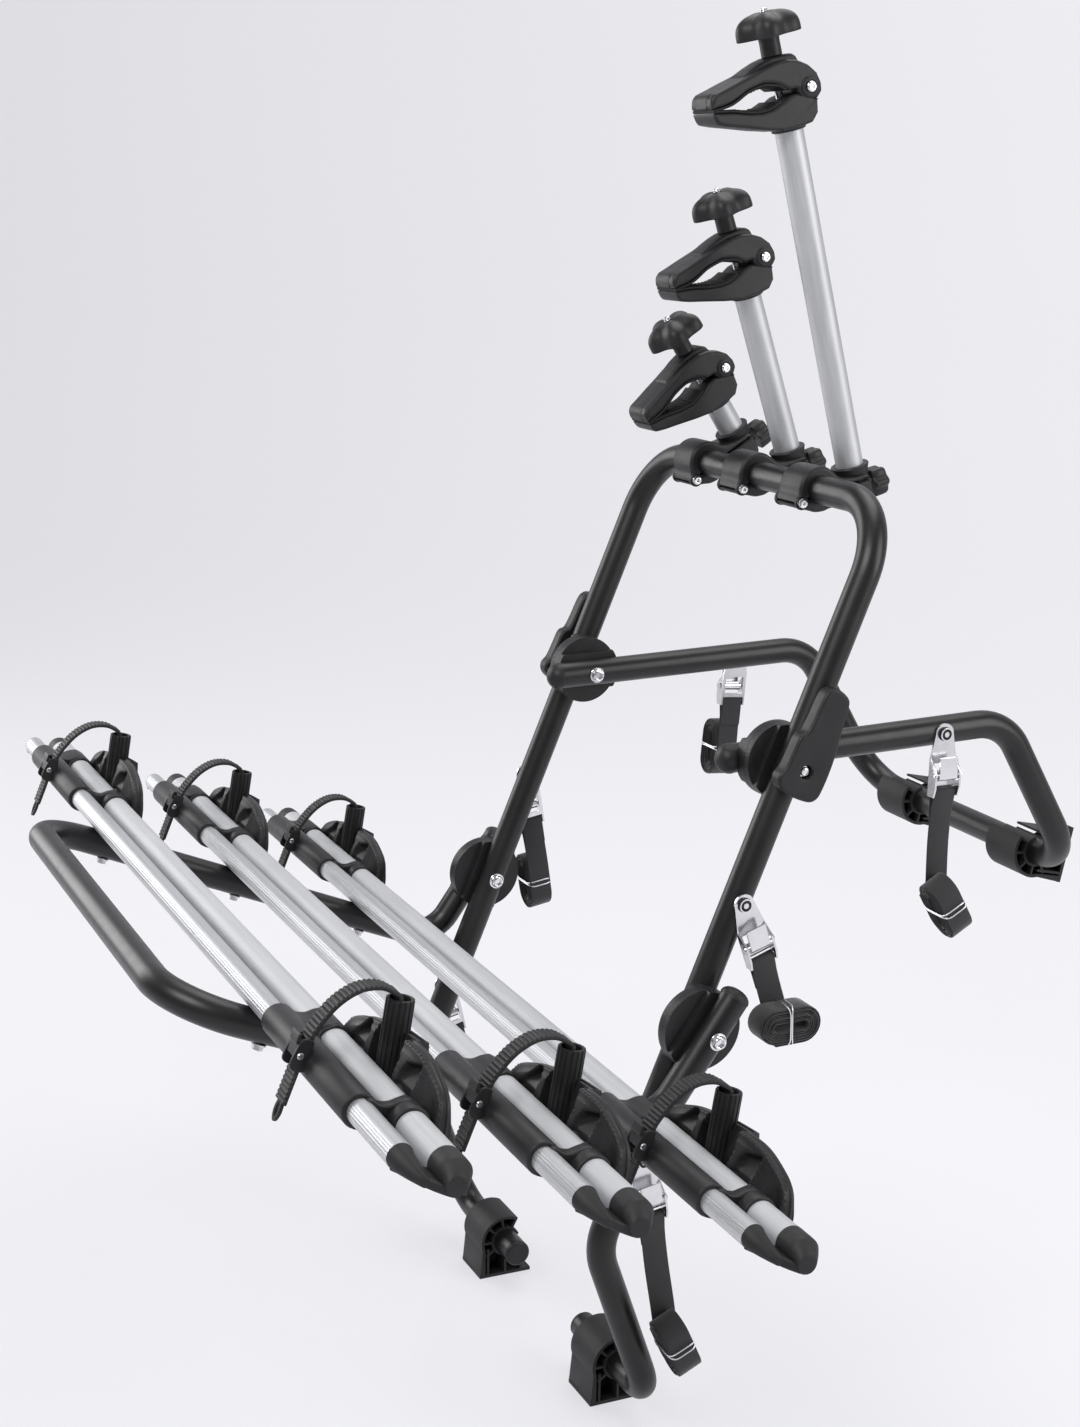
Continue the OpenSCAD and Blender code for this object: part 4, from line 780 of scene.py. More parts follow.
def ratchet(i, end):
    """Toothed strap with its tail, the buckle's two cheeks and cross pieces, and the pin through them."""
    place = rail_place(RAIL_PLACES[i]).inner((TRAY_PLACES[end][i], 0, 0))
    name = "ratchet_strap_%d_%s" % (i + 1, end)
    strap, housing, pin = Surface(), Surface(), Surface()
    toothed_band(strap, place)
    strap_tail(strap, place)
    cheek = closed_outline([[-27.5, 20], [-14.2, 20], [-14.2, 42], [-17, 46], [-24, 45], [-27, 38]], 60)
    head = turned([[0, 0.9], [2.4, 0.8], [3.1, 0.0], [3.1, -0.5]], 24)
    for s in (-1, 1):
        housing.grid(place.at(laid(rounded_plate(cheek, -1.5, 1.5, 0.6)) + (s * 9.4, 1.5, 0)))
        pin.grid(place.at(fallen(head + (0, 0, 11.0), s) + (0, *BUCKLE_PIN)))
    block(housing, place, (18.0, 4.4, 15.0), (0, -23.6, 36))
    block(housing, place, (17.0, 3.0, 9.0), (0, -26.0, 44))
    pin.grid(place.at(bar(circle(2.2, 20) + BUCKLE_PIN, -11.6, 11.6)))
    body = BODY_OF[name]
    finished(strap.make(name + "_band", 35), body, STRAP_PLASTIC, "strap_plastic", name)
    finished(housing.make(name + "_buckle", 35), body, PLASTIC, "black_plastic", name)
    finished(pin.make(name + "_pin", 40), body, ZINC, "zinc_steel", name)


BODY_OF = {n: body for body, members in frame["record"]["behaviour"]["bodies"].items() for n in members}
for end in ("near", "far"):
    for i in range(3):
        ratchet(i, end)

# Clamp heads -------------------------------------------------------------------------------

JAW_W, PIVOT, KNUCKLE_R, SADDLE_TOP, SCREW_X = 44.0, np.array([-20.0, 35.0]), 14.0, 70.7, 4.0
# Outlines of the jaws, seen from the left, with their mouth to the right
LOWER_OUT = [[-26.4, 22.4], [-24.5, 9], [-17, 1.2], [-6, 0], [18.5, 0.6], [38, 6], [59.4, 13.2], [78, 19.2],
             [88.5, 23.5], [91, 28]]
LOWER_IN = [[91.5, 34.6], [80, 32.6], [70, 30.6], [52, 25], [38, 22.4], [27, 22.8], [12, 27.6], [4, 31.2], [-4, 32]]
UPPER_IN = [[-6, 36.4], [3, 36.8], [8, 40], [14, 44.6], [22, 47.6], [31, 49.4], [48, 47.2], [62, 42], [70, 39.8],
            [80, 38.8], [91.5, 38.6]]
UPPER_OUT = [[92.2, 42.5], [90.5, 48.5], [86, 52.3], [74, 54.6], [60, 57.5], [44, 60.4], [30, 63.5], [12, 66.4],
             [-1, 66], [-12, 62.8], [-23, 56], [-31, 46.5], [-34, 36]]
UPPER_BACK = [[-33, 28], [-27, 22.5], [-18, 21.2], [-9.5, 25.5], [-6, 33]]
SADDLE = [[-17, 60], [-15.5, 66], [-11, 70], [-4, 70.7], [12, 70.7], [22, 69], [34, 65.6], [46, 61.2], [49, 58.4],
          [42, 56], [15, 58], [-9, 57]]
PIVOT_HEAD = [[0.1, 24.3], [2.6, 24.3], [2.7, 25.9], [3.9, 26.0], [5.0, 25.4], [5.4, 24.4], [5.4, 23.0], [0.1, 23.0]]
LOWER_LINER = [[90.5, 36.1], [80, 34.2], [70, 32.2], [52, 26.6], [38, 24], [27, 24.3], [15.5, 27.7]]
UPPER_LINER = [[7, 38.4], [13, 43.2], [22, 46.1], [31, 47.9], [48, 45.7], [62, 40.5], [70, 38.2], [80, 37.3],
               [91, 37.1]]


def corner_line(points, n):
    """Closed outline whose corners are rounded a little: each corner is replaced by two points beside it."""
    p = np.asarray(points, float)

    def beside(other):
        return p + unit(other - p) * np.minimum(1.2, 0.3 * np.linalg.norm(other - p, axis=1))[:, None]

    return closed_outline(np.stack([beside(np.roll(p, 1, 0)), beside(np.roll(p, -1, 0))], 1).reshape(-1, 2), n)


def ribbon(points, t, w):
    """Band of thickness t along flat points, w wide, with broken edges."""
    path = even_path(smooth_path(points), 60)[0]
    h, k, c = t / 2, w / 2, 0.6
    ring = np.array([(h, -k + c), (h, k - c), (h - c, k), (-h + c, k),
                     (-h, k - c), (-h, -k + c), (-h + c, -k), (h - c, -k)])
    flat = path[:, None] + flat_sides(path)[:, None] * ring[None, :, :1]
    return np.concatenate([flat, np.broadcast_to(ring[None, :, 1:], flat.shape[:2] + (1,))], -1)


def liner_ribs(surface, place, points, w):
    """Cross ribs of a rubber liner at even distances: half-round bars across its width."""
    path = even_path(smooth_path(points), 11)[0]
    for q, out in zip(path[1:-1], flat_sides(path)[1:-1]):
        surface.grid(place.at(upright_bar(circle(1.3, 14) + (q - 1.1 * out), -w / 2, w / 2)))


def boss(surface, place, profile, side):
    """Round boss or bolt head on the side of a jaw, about the knuckle's axis."""
    surface.grid(place.at(turned(profile, 40) * (1, 1, side) + (*PIVOT, 0)), ends=False)


def lower_jaw(place, n):
    """Jaw on the arm's tube, with the tube's socket and the tongue of the knuckle."""
    jaw = Surface()
    jaw.grid(place.at(rounded_plate(corner_line(LOWER_OUT + LOWER_IN, 190), -JAW_W / 2, JAW_W / 2, 3.2, 5)))
    socket = turned([[14.6, -2.6], [16.8, -2.6], [17.5, -1.8], [17.5, 9.0], [14.6, 9.0]], 56)
    jaw.grid(place.at(socket[..., [0, 2, 1]]), ends=False)
    jaw.grid(place.at(rounded_plate(circle(KNUCKLE_R) + PIVOT, -9.8, 9.8, 0.8)))
    finished(jaw.make("lower_jaw_%d_shell" % n, 50), "arm_%d" % n, PLASTIC, "black_plastic", "lower_jaw_%d" % n)


def upper_jaw(place, n):
    """Jaw of two cheeks on a core, with bosses on the pivot and the saddle that the knob bears on."""
    jaw = Surface()
    cheek = corner_line(UPPER_IN + UPPER_OUT + UPPER_BACK, 230)
    a = np.radians(np.linspace(112, 28, 10))
    nook = PIVOT + 15.0 * np.stack([np.cos(a), np.sin(a)], -1)
    core = closed_outline(np.concatenate([UPPER_IN[3:], np.array(UPPER_OUT[:-4]) - (0, 0.03), nook]), 200)
    for s in (-1, 1):
        low, high = sorted((s * 10.2, s * JAW_W / 2))
        jaw.grid(place.at(rounded_plate(cheek, low, high, 4.0, 5, s < 0, s > 0)))
        boss(jaw, place, [[0.1, 22.6], [6.4, 22.6], [6.9, 23.3], [9.6, 23.3], [10.4, 22.6], [10.4, 21.0]], s)
    jaw.grid(place.at(rounded_plate(core, -10.6, 10.6, 0.2)))
    jaw.grid(place.at(rounded_plate(corner_line(SADDLE, 110), -14, 14, 3.0, 5)))
    finished(jaw.make("upper_jaw_%d_shell" % n, 50), "jaw_%d" % n, PLASTIC, "black_plastic", "upper_jaw_%d" % n)


def jaw_pivot(place, n):
    """Bright heads of the pin that the jaws turn on."""
    pivot = Surface()
    for s in (-1, 1):
        boss(pivot, place, PIVOT_HEAD, s)
    finished(pivot.make("jaw_pivot_%d" % n, 40), "arm_%d" % n, ZINC_BRIGHT, "zinc_steel", "arm_bolts_%d" % n)


def jaw_liner(place, n, name, body, line, ribbed):
    """Rubber liner of a jaw, with ribs along the part of its line that is ribbed."""
    liner = Surface()
    liner.grid(place.at(ribbon(line, 2.6, JAW_W - 1.6)))
    liner_ribs(liner, place, ribbed, JAW_W - 9)
    finished(liner.make("%s_liner_%d" % (name, n), 50), "%s_%d" % (body, n), RUBBER, "black_plastic",
             "%s_jaw_%d" % (name, n))


def knob_cap(w, h, lobes, depth):
    """Mushroom cap: radius sin and height cos of one angle, its rim drawn in between the lobes, its crown dimpled."""
    a = whole_turn(150)
    valley = 0.5 - 0.5 * np.cos(lobes * a)
    rim = w / 2 * (1 - depth * valley)
    t = np.linspace(0.015, 1, 28)[:, None]
    r = rim * np.sin(t * np.pi / 2) ** 0.9
    z = h * np.cos(t * np.pi / 2) ** 0.6 * (1 - 0.16 * valley * t ** 0.8) - 1.4 * np.exp(-((t * 5.0) ** 2))
    under = np.array([[0.985, -0.7], [0.94, -0.9], [0.9, 0.2], [0.82, 6.0], [0.6, 9.0], [0.31, 10.0]])
    r2 = rim * under[:, :1]
    z2 = np.broadcast_to(under[:, 1:], r2.shape)
    r, z = np.concatenate([r, r2]), np.concatenate([z, z2])
    return np.stack([r * np.cos(a), r * np.sin(a), z], -1)


KNOB_TURN, KNOB_W, KNOB_H = 65.0, 67.0, 24.0
THREAD_R, THREAD_DEPTH, THREAD_PITCH = 3.8, 0.25, 1.5


def clamp_knob(place, n):
    """Five-lobed knob on its neck, and the screw through it: the screw's radius waves once a pitch and turn."""
    place = place.inner((SCREW_X, 0, 0), [[1, 0, 0], [0, 0, -1], [0, 1, 0]])
    top, rim = SADDLE_TOP + 0.4, SADDLE_TOP + 20.4
    c, s = cos_of(KNOB_TURN), sin_of(KNOB_TURN)
    spun = place.inner((0, 0, 0), [[c, s, 0], [-s, c, 0], [0, 0, 1]])
    neck = np.array([[5.0, 0], [10.0, 0], [10.5, 0.6], [10.3, 14], [10.9, 22], [13.0, 30]]) + (0, top)
    grip = Surface()
    grip.grid(spun.at(knob_cap(KNOB_W, KNOB_H, 5, 0.2) + (0, 0, rim)))
    grip.grid(spun.at(turned(neck, 44)))
    finished(grip.make("clamp_knob_%d_grip" % n, 40), "knob_%d" % n, PLASTIC, "black_plastic", "clamp_knob_%d" % n)
    z = np.linspace(11, rim + 26.8, 300)
    a = whole_turn(20)
    r = THREAD_R + THREAD_DEPTH * np.cos((z * 2 * np.pi / THREAD_PITCH)[:, None] - a[None, :])
    r[-4:] = np.array([[3.6], [3.2], [1.4], [1.2]])
    z[-1] -= 1.2
    screw = Surface().grid(place.at(ring_grid(r, a, z)))
    finished(screw.make("clamp_knob_%d_screw" % n, 60), "knob_%d" % n, ZINC, "zinc_steel", "clamp_knob_%d" % n)


for i in range(3):
    place, n = clamp_place(i), i + 1
    lower_jaw(place, n)
    upper_jaw(place, n)
    jaw_pivot(place, n)
    jaw_liner(place, n, "lower", "arm", LOWER_LINER, LOWER_LINER[2:6])
    jaw_liner(place, n, "upper", "jaw", UPPER_LINER, UPPER_LINER[1:5])
    clamp_knob(place, n)

# Wheel trays -------------------------------------------------------------------------------

TRAY_LEN, TRAY_GAP, TRAY_WALL, WINDOW = 206.0, 0.35, 3.6, (-60.0, 98.0)
TRAY_FRONT_R, TRAY_REAR_R = FRONT_R + TRAY_GAP + TRAY_WALL, REAR_R + TRAY_GAP + TRAY_WALL - 1.2
FIN_TOP = np.array([[-125.5, 0], [-125.5, 9], [-121, 15], [-106, 21.5], [-91, 28], [-83, 35], [-74, 42.5],
                    [-56, 50.5], [-33, 57.5], [0, 62], [35, 65], [64, 66], [80, 64.5], [93, 61], [106, 56],
                    [115, 51.5], [123, 44], [127, 33], [127.6, 20], [127.6, 0]])
FIN_POCKETS = (([[-64, 35], [-34, 63.5], [-29, 64], [-26, 56], [-29, 37]], 10.0),
               ([[48, 39], [54, 52], [60, 60], [82, 66.5], [73, 34]], 9.0))
POST_BAY, BAY_DEPTH, POCKET_SOFT = [[-25, 31], [33, 31], [42, 57], [36, 90], [-15, 90], [-14, 57]], 14.0, 4.5
TRAY_ARCH = [[-2, FRONT_N + 9], [4, 39.4], [12, 37.6], [20, 39.0], [28, 44.2], [37, 45.8], [37, 30], [0, 28]]


def open_ends(surface, rows, cols):
    """Closes the two open sides of the last grid, whose rows wrap."""
    for k in (0, cols - 1):
        surface.faces.append((surface.count - rows * cols + k + np.arange(rows) * cols).tolist())


def sleeve(surface, place, centre, r, x1, x2, start=0.0, stop=360.0):
    """Sleeve round a rail's tube from angle start to stop, its rims rounded; a whole ring when they are 360 apart."""
    whole = stop - start >= 360
    a = np.radians(np.linspace(start, stop, 72, endpoint=not whole))
    inner, e = r - TRAY_WALL, 1.3
    x = np.array([x1, x1, x1 + 0.35 * e, x1 + e, x2 - e, x2 - 0.35 * e, x2, x2])
    ring = np.array([inner, r - e, r - 0.3 * e, r, r, r - 0.3 * e, r - e, inner])
    p = rings_along_x(x, ring, [centre[0]], [centre[1]], a)
    surface.grid(place.at(p), wrap_rows=True, wrap_cols=whole, ends=False)
    if not whole:
        open_ends(surface, len(x), len(a))


def smooth_step(t):
    """3 t^2 - 2 t^3 between 0 and 1, flat outside."""
    t = np.clip(t, 0, 1)
    return t * t * (3 - 2 * t)


def hollow(p, corners):
    """Share of a pocket with these corners in X and Z at each point: 1 inside, 0 outside, smooth at its edge."""
    x, n = p[..., 0], p[..., 2]
    corners = np.asarray(corners, float)
    after = np.roll(corners, -1, 0)
    d = unit(after - corners)
    area = np.sum(corners[:, 0] * after[:, 1] - corners[:, 1] * after[:, 0])
    depth = [((x - c[0]) * -q[1] + (n - c[1]) * q[0]) * np.sign(area) for c, q in zip(corners, d)]
    return smooth_step(np.min(depth, 0) / POCKET_SOFT + 0.5)


def tray_fin(surface, place):
    """Side fin: its face rises from the rear tube to the rim, with two pockets and a bay round the post in it."""
    line = even_path(smooth_path(FIN_TOP[1:-1]), 150)[0]
    line = np.concatenate([FIN_TOP[:1] + (0, 0.5), line, FIN_TOP[-1:] + (0, 0.5)])
    across = np.array([POST_DIR[1], -POST_DIR[0]])

    def leaned(line, y):
        yn = POST_FOOT + (line[..., 1:] - 27.0) * POST_DIR + np.asarray(y, float) * across
        return np.concatenate([line[..., :1], yn], -1)

    v = np.linspace(0, 1, 64)[:, None, None]
    far = smooth_step((np.abs(line[:, 0] - 6) - 104) / 18)
    foot = np.stack([np.clip(line[:, 0], -119, 123), 54.0 + 4 * far, 35.0 - 16 * far], -1)
    p = foot * (1 - v) + leaned(line, -6.0) * v
    x, n = p[..., 0], p[..., 2]
    top = leaned(line, -6.0)[::3]
    edge = np.min(np.hypot(x[..., None] - top[None, None, :, 0], n[..., None] - top[None, None, :, 2]), -1)
    face = -3.5 + 3.0 * (1 - np.sqrt(1 - np.clip(1 - edge / 3.0, 0, 1) ** 2))
    swell = np.sin(np.pi * v[..., 0] ** 0.7) * np.clip((edge - 3) / 6, 0, 1)
    face = face - 2.0 * swell * np.clip((78 - np.abs(x)) / 20, -0.8, 1)
    for corners, depth in FIN_POCKETS:
        face += depth * hollow(p, corners) * np.clip((n - 36) / 22, 0.35, 1)
    p[..., 1] += face
    rim_y = np.array([-5.6, -4.6, -2.4, -1.6, 1.5])[:, None, None]
    inset = np.array([0.0, 1.3, 1.3, 0.0, 0.8])[:, None, None]
    rim = line[None] - inset * unit(line - (0, 12.0))[None]
    back = line[None] * np.array([[[1, 0.8]], [[1, 0.4]], [[1, 0.02]]])
    whole = np.concatenate([p, leaned(rim, rim_y), leaned(back, 2.5)])
    whole[..., 1] += BAY_DEPTH * hollow(whole, POST_BAY)
    surface.grid(place.at(whole), wrap_rows=True, wrap_cols=False, ends=False)
    open_ends(surface, *whole.shape[:2])


def fluted_post(surface, place):
    """Tube with shallow flutes round it, open at its top with a thin wall."""
    a = whole_turn(192)
    groove = np.clip(np.cos(16 * a) * 1.6 - 0.35, 0, 1)
    z = np.array([-20, -20, 54, 58.6, 59.7, 60, 60, 59.5, 40, 40])
    r = np.array([1, 12.5, 12.4, 12.3, 12.0, 11.4, 9.6, 9.1, 9.0, 1])
    depth = np.array([0, 1, 1, 1, 0.7, 0, 0, 0, 0, 0])
    surface.grid(place.at(ring_grid(r[:, None] - depth[:, None] * groove, a, z)), ends=False)


def window_lip(surface, place):
    """Round lip along the window's edge, which is a rounded rectangle laid on the rear tube."""
    r = TRAY_REAR_R - 1.0
    c, s = super_turn(120, 0.16)
    x, turn = sum(WINDOW) / 2 + (WINDOW[1] - WINDOW[0]) / 2 * c, np.radians(98 + 84 * s)
    out = np.stack([0 * x, np.cos(turn), np.sin(turn)], -1)
    path = np.stack([x, 0 * x + RAIL_SPAN, 0 * x + REAR_N], -1) + r * out
    beside = np.cross(unit(np.roll(path, -1, 0) - np.roll(path, 1, 0)), out)
    ring = circle(2.0, 14)
    p = path[:, None] + ring[None, :, :1] * out[:, None] + ring[None, :, 1:] * beside[:, None]
    surface.grid(place.at(p), wrap_rows=True, ends=False)


def tray(i, end):
    """Wheel tray: sleeves on the rail's two tubes, arched bridges and a floor between them, fin and post."""
    place = rail_place(RAIL_PLACES[i]).inner((TRAY_PLACES[end][i], 0, 0))
    body, half, rear = Surface(), TRAY_LEN / 2, (RAIL_SPAN, REAR_N)
    sleeve(body, place, (0, FRONT_N), TRAY_FRONT_R, -half, half)
    for low, high in ((-half, WINDOW[0]), (WINDOW[1], half + 20)):
        sleeve(body, place, rear, TRAY_REAR_R, low, high)
        bridge = rounded_plate(closed_outline(TRAY_ARCH, 70), low + 1, min(high, half + 8) - 1, 2.4)
        body.grid(place.at(laid(bridge)))
    sleeve(body, place, rear, TRAY_REAR_R, *WINDOW, 195, 378)
    n1, n2 = TUBE_R - TRAY_GAP - TRAY_WALL, TUBE_R - TRAY_GAP
    for y1, y2 in ((0, RAIL_SPAN), (RAIL_SPAN, POST_Y)):
        flat = np.array([[y1, n1], [y2, n1], [y2, n2], [y1, n2]])
        body.grid(place.at(laid(rounded_plate(flat, -half, half, 0.6))))
    window_lip(body, place)
    tray_fin(body, place)
    fluted_post(body, place.inner((0, *POST_FOOT)).turned_x(POST_LEAN))
    name = "tray_%d_%s" % (i + 1, end)
    finished(body.make(name + "_form", 42), BODY_OF[name], PLASTIC, "black_plastic", name)


for end in ("near", "far"):
    for i in range(3):
        tray(i, end)

# Collars of the clamp arms -----------------------------------------------------------------

COLLAR = [[-15, 18.8], [-8, 22.7], [0, 24], [8.5, 22.5], [15.5, 18.2], [20.8, 12], [26, 5.5], [34, 1.5], [46, -0.5],
          [58, -2], [62.5, -8], [62.5, -20], [60, -27.5], [52, -28.5], [36, -26.5], [20, -24.6], [8, -23.4],
          [0, -24], [-10, -22], [-17.5, -17.8], [-23.5, -14.8], [-29.4, -11.4], [-31.2, -6.5], [-28.6, -1.6],
          [-24.6, 3], [-21.5, 11]]
PARTING, COLLAR_HALF = ((-4.9, True), (-7.1, False)), 22.0
COLLAR_CUP = [[14.6, -14], [17.0, -14], [17.6, -6], [18.4, 2], [19.6, 6.0], [20.2, 7.6], [19.7, 8.5], [14.7, 8.5]]
COLLAR_PIN, STAR_Y, STAR_Z = (0, -24, -7), 70.8, -18.0
PIN_HEAD = [[0.1, 23.4], [1.9, 23.4], [2.1, 25.3], [3.4, 25.6], [4.9, 24.9], [5.5, 23.4], [5.5, 21.6]]
PIN_BOSS = [[5.6, 21.7], [6.9, 22.4], [7.6, 21.8], [7.6, 19]]


def cut_at(outline, level, above):
    """Part of a closed outline above or below a level of its second coordinate."""
    kept = []
    for a, b in zip(outline, np.roll(outline, -1, 0)):
        inside_a, inside_b = (a[1] > level) == above, (b[1] > level) == above
        if inside_a:
            kept.append(a)
        if inside_a != inside_b:
            kept.append(a + (b - a) * (level - a[1]) / (b[1] - a[1]))
    return np.array(kept)


def arm_collar(i):
    """Two shells with a gap between them, the cup for the arm's tube, and the heads of the pin in their bosses."""
    place, name, bolts_name = arm_place(i), "arm_collar_%d" % (i + 1), "arm_bolts_%d" % (i + 1)
    shell, screws = Surface(), Surface()
    whole = closed_outline(COLLAR, 150)
    for level, above in PARTING:
        part = even_loop(cut_at(whole, level, above), 150)
        shell.grid(place.at(laid(rounded_plate(part, -COLLAR_HALF, COLLAR_HALF, 3.6, 5))))
    shell.grid(place.at(turned(COLLAR_CUP, 64) + (0, ARM_BACK, 0)), ends=False)
    block(shell, place, (22.0, 10.6, 19.0), (0, ARM_BACK, -18.0), 1.6)
    for s in (-1, 1):
        screws.grid(place.at(fallen(turned(PIN_HEAD, 36), s) + COLLAR_PIN), ends=False)
        shell.grid(place.at(fallen(turned(PIN_BOSS, 36), s) + COLLAR_PIN), ends=False)
    finished(shell.make(name + "_form", 40), BODY_OF[name], PLASTIC, "black_plastic", name)
    finished(screws.make(name + "_screws", 40), BODY_OF[name], ZINC_BRIGHT, "zinc_steel", bolts_name)


def star_knob(i):
    """Six-lobed knob, hollow at its end: its radius falls between the lobes."""
    place, name = arm_place(i), "star_knob_%d" % (i + 1)
    a = whole_turn(120)
    valley = 0.5 - 0.5 * np.cos(6 * a)
    z = np.array([0, 0, 1.2, 9, 15, 17.4, 18, 18, 12.0, 12.0])
    r = np.array([3.0, 15.2, 16.4, 16.4, 16.0, 14.4, 12.0, 6.2, 5.8, 0.2])
    lobed = np.array([0, 1, 1, 1, 1, 1, 0.7, 0, 0, 0])
    knob = ring_grid(r[:, None] * (1 - 0.17 * lobed[:, None] * valley), a, z)
    star = Surface().grid(place.inner((0, STAR_Y, STAR_Z), [[1, 0, 0], [0, 0, -1], [0, 1, 0]]).at(knob), ends=False)
    finished(star.make(name + "_form", 40), BODY_OF[name], PLASTIC, "black_plastic", name)


for i in range(3):
    arm_collar(i)
    star_knob(i)

# Rail end caps -----------------------------------------------------------------------------

CAP_WEB = [[0, -3], [9, 1], [20, 10], [30, 24], [33, 38], [20, 44], [0, 46]]


def front_nose(a):
    """Cap of the front tube: its rings shrink and slope down to the floor."""
    x = np.array([-1.0, 0.0, 0.4, 4, 9, 14, 19, 23, 25, 25.6])
    share = np.clip(x / x[-1], 0, 1)
    r = np.where(x <= 0, FRONT_R - 0.3, (FRONT_R + 0.1) * (1 - 0.66 * share ** 1.1))
    z = TUBE_R + r
    r[-1] *= 0.75
    return rings_along_x(x, r, 15.0 * share ** 1.6, z, a)


def rear_nose(a):
    """Cap of the rear tube: it runs out to a blunt nose that hangs a little."""
    x = np.array([-1.0, 0.0, 0.4, 8, 16, 22, 22.6, 28, 33, 33.9, 34.0])
    r = np.array([13.7, 13.7, 14.1, 14.1, 14.1, 13.9, 13.6, 11.4, 9.0, 8.2, 7.0])
    lower = np.array([0, 0, 0, 0, 0, 0, 0, 0.6, 1.4, 1.5, 1.5])
    return rings_along_x(x, r, RAIL_SPAN - lower, REAR_N + (r - REAR_R) * 0.55 - lower * 1.2, a)


def rail_caps():
    """Nose over each rail's end: the caps of its two tubes and the web between them."""
    surface = Surface()
    web = rounded_plate(closed_outline(CAP_WEB, 60), TUBE_R - 0.2, TUBE_R + 7.5, 2.0)
    for u in RAIL_PLACES:
        for s in (-1, 1):
            place = rail_place(u).inner((s * RAIL_END, 0, 0), [[s, 0, 0], [0, 1, 0], [0, 0, 1]])
            for part in (front_nose(whole_turn(64)), rear_nose(whole_turn(64)), web):
                surface.grid(place.at(part))
    finished(surface.make("rail_end_cap_noses", 38), "platform", PLASTIC_MATT, "black_plastic", "rail_end_caps")


rail_caps()

# Bolts with round socket heads -------------------------------------------------------------

BOLT_D, BOLT_H, PIVOT_BOLT_D, PIVOT_BOLT_H, ROD_R = 15.0, 5.0, 9.0, 3.6, 3.9


def bolt_head(surface, place, d, h):
    """Button head with a six-sided socket: the profile is turned, its socket wall is a hexagon."""
    a = whole_turn(48)
    hexagon = 0.26 * d / np.cos((a + np.pi / 6) % (np.pi / 3) - np.pi / 6)
    rim = [np.full(48, share * d) for share in (0.40, 0.47, 0.5, 0.5)]
    r = np.array([0 * a + 0.01, hexagon, hexagon, hexagon * 1.12] + rim)
    z = h * np.array([0.35, 0.35, 0.96, 1.0, 0.93, 0.62, 0.15, 0.0])
    surface.grid(place.at(ring_grid(r, a, z)), ends=False)
    washer = [[d * 0.1, 0.0], [d / 2 + 1.2, 0.0], [d / 2 + 1.6, -0.4], [d / 2 + 1.6, -1.6], [d * 0.1, -1.6]]
    surface.grid(place.at(turned(washer, 40)), ends=False)


def x_place(x, p, out):
    """Z outwards along X."""
    return Place(side_point(x, p), [[0, 1, 0], [0, 0, out], [out, 0, 0]])


bolts = Surface()
for s in (-1, 1):
    for x, p, out in ((HALF_FRAME - TUBE_R - 1.9, UPPER_HINGE, -1), (HALF_PLATFORM + TUBE_R + 1.9, LOWER_HINGE, 1),
                      (HALF_HOOP - TUBE_R - 1.6, LOWER_HINGE, -1)):
        bolt_head(bolts, x_place(s * x, p, s * out), BOLT_D, BOLT_H)
    bolt_head(bolts, x_place(s * 274.2, UPPER_HINGE, s), PIVOT_BOLT_D, PIVOT_BOLT_H)
    for x1, x2, p in ((HALF_FRAME - TUBE_R, 277.5, UPPER_HINGE),
                      (HALF_HOOP - TUBE_R, HALF_PLATFORM + TUBE_R + 1, LOWER_HINGE)):
        bolts.grid(x_place(s * x1, p, s).at(upright_bar(circle(ROD_R, 24), 0, x2 - x1)))
finished(bolts.make("hinge_bolts_turned", 35), "hoop", ZINC_BRIGHT, "zinc_steel", "hinge_bolts")

# Release levers and domed ends of the tubes -------------------------------------------------

LEVER_X, LEVER_T = 263.4, 17.5
LEVER = [[-3, 87.2], [8, 85.5], [16.6, 80.8], [19.6, 72], [21, 58], [25, 30], [26.4, 10], [26, -10], [24, -21],
         [17, -27], [2, -28], [-14, -26.5], [-24, -21], [-27.5, -12], [-24, -2], [-22.8, 16], [-22.3, 28],
         [-20, 33.5], [-15.8, 37.5], [-14, 50], [-12.7, 73.5], [-10, 82.4]]
LEVER_HOLE = ((8.4, 0), (7.9, 0.1), (7.2, 0.8), (7.1, 9), (0.2, 9))


def release_lever(name, s):
    """Paddle in the plane of the hoop's leg, with a sunk hole for the hinge bolt's end."""
    place = Place(side_point(s * LEVER_X, UPPER_HINGE), [np.cross(LEG_DIR, [s, 0, 0]), LEG_DIR, [s, 0, 0]])
    outline = closed_outline(np.array(LEVER) * (s, 1), 150)
    toward = unit(outline)
    hole = [np.concatenate([toward * r, np.full((150, 1), LEVER_T - down)], 1) for r, down in LEVER_HOLE]
    plate = np.concatenate([rounded_plate(outline, 0.0, LEVER_T, 3.4, 6), np.array(hole)])
    finished(Surface().grid(place.at(plate)).make(name + "_form", 40), BODY_OF[name], PLASTIC, "black_plastic", name)


release_lever("left_release_lever", -1)
release_lever("right_release_lever", 1)

DOME = np.array([[15.0, -1.0], [15.5, -0.6], [15.5, 0.4], [15.1, 3.6], [13.6, 7.4], [11.2, 10.4], [8.0, 12.6],
                 [4.2, 13.9], [0.2, 14.3]])


def tube_plugs(name, body, node_name, p, way, half, crown):
    """Domed plugs in a tube's two ends; crown is the share of the dome's height that they keep."""
    plugs = Surface()
    for s in (-1, 1):
        place = Place(side_point(s * half, p), [[1, 0, 0], np.cross(way, [1, 0, 0]), way])
        plugs.grid(place.at(turned(DOME * (1, crown), 56)), ends=False)
    finished(plugs.make(name, 50), body, PLASTIC, "black_plastic", node_name)


tube_plugs("upper_frame_plugs", "upper_frame", "upper_frame_tube", FRAME_START, -ARM_DIR, HALF_FRAME, 1.0)
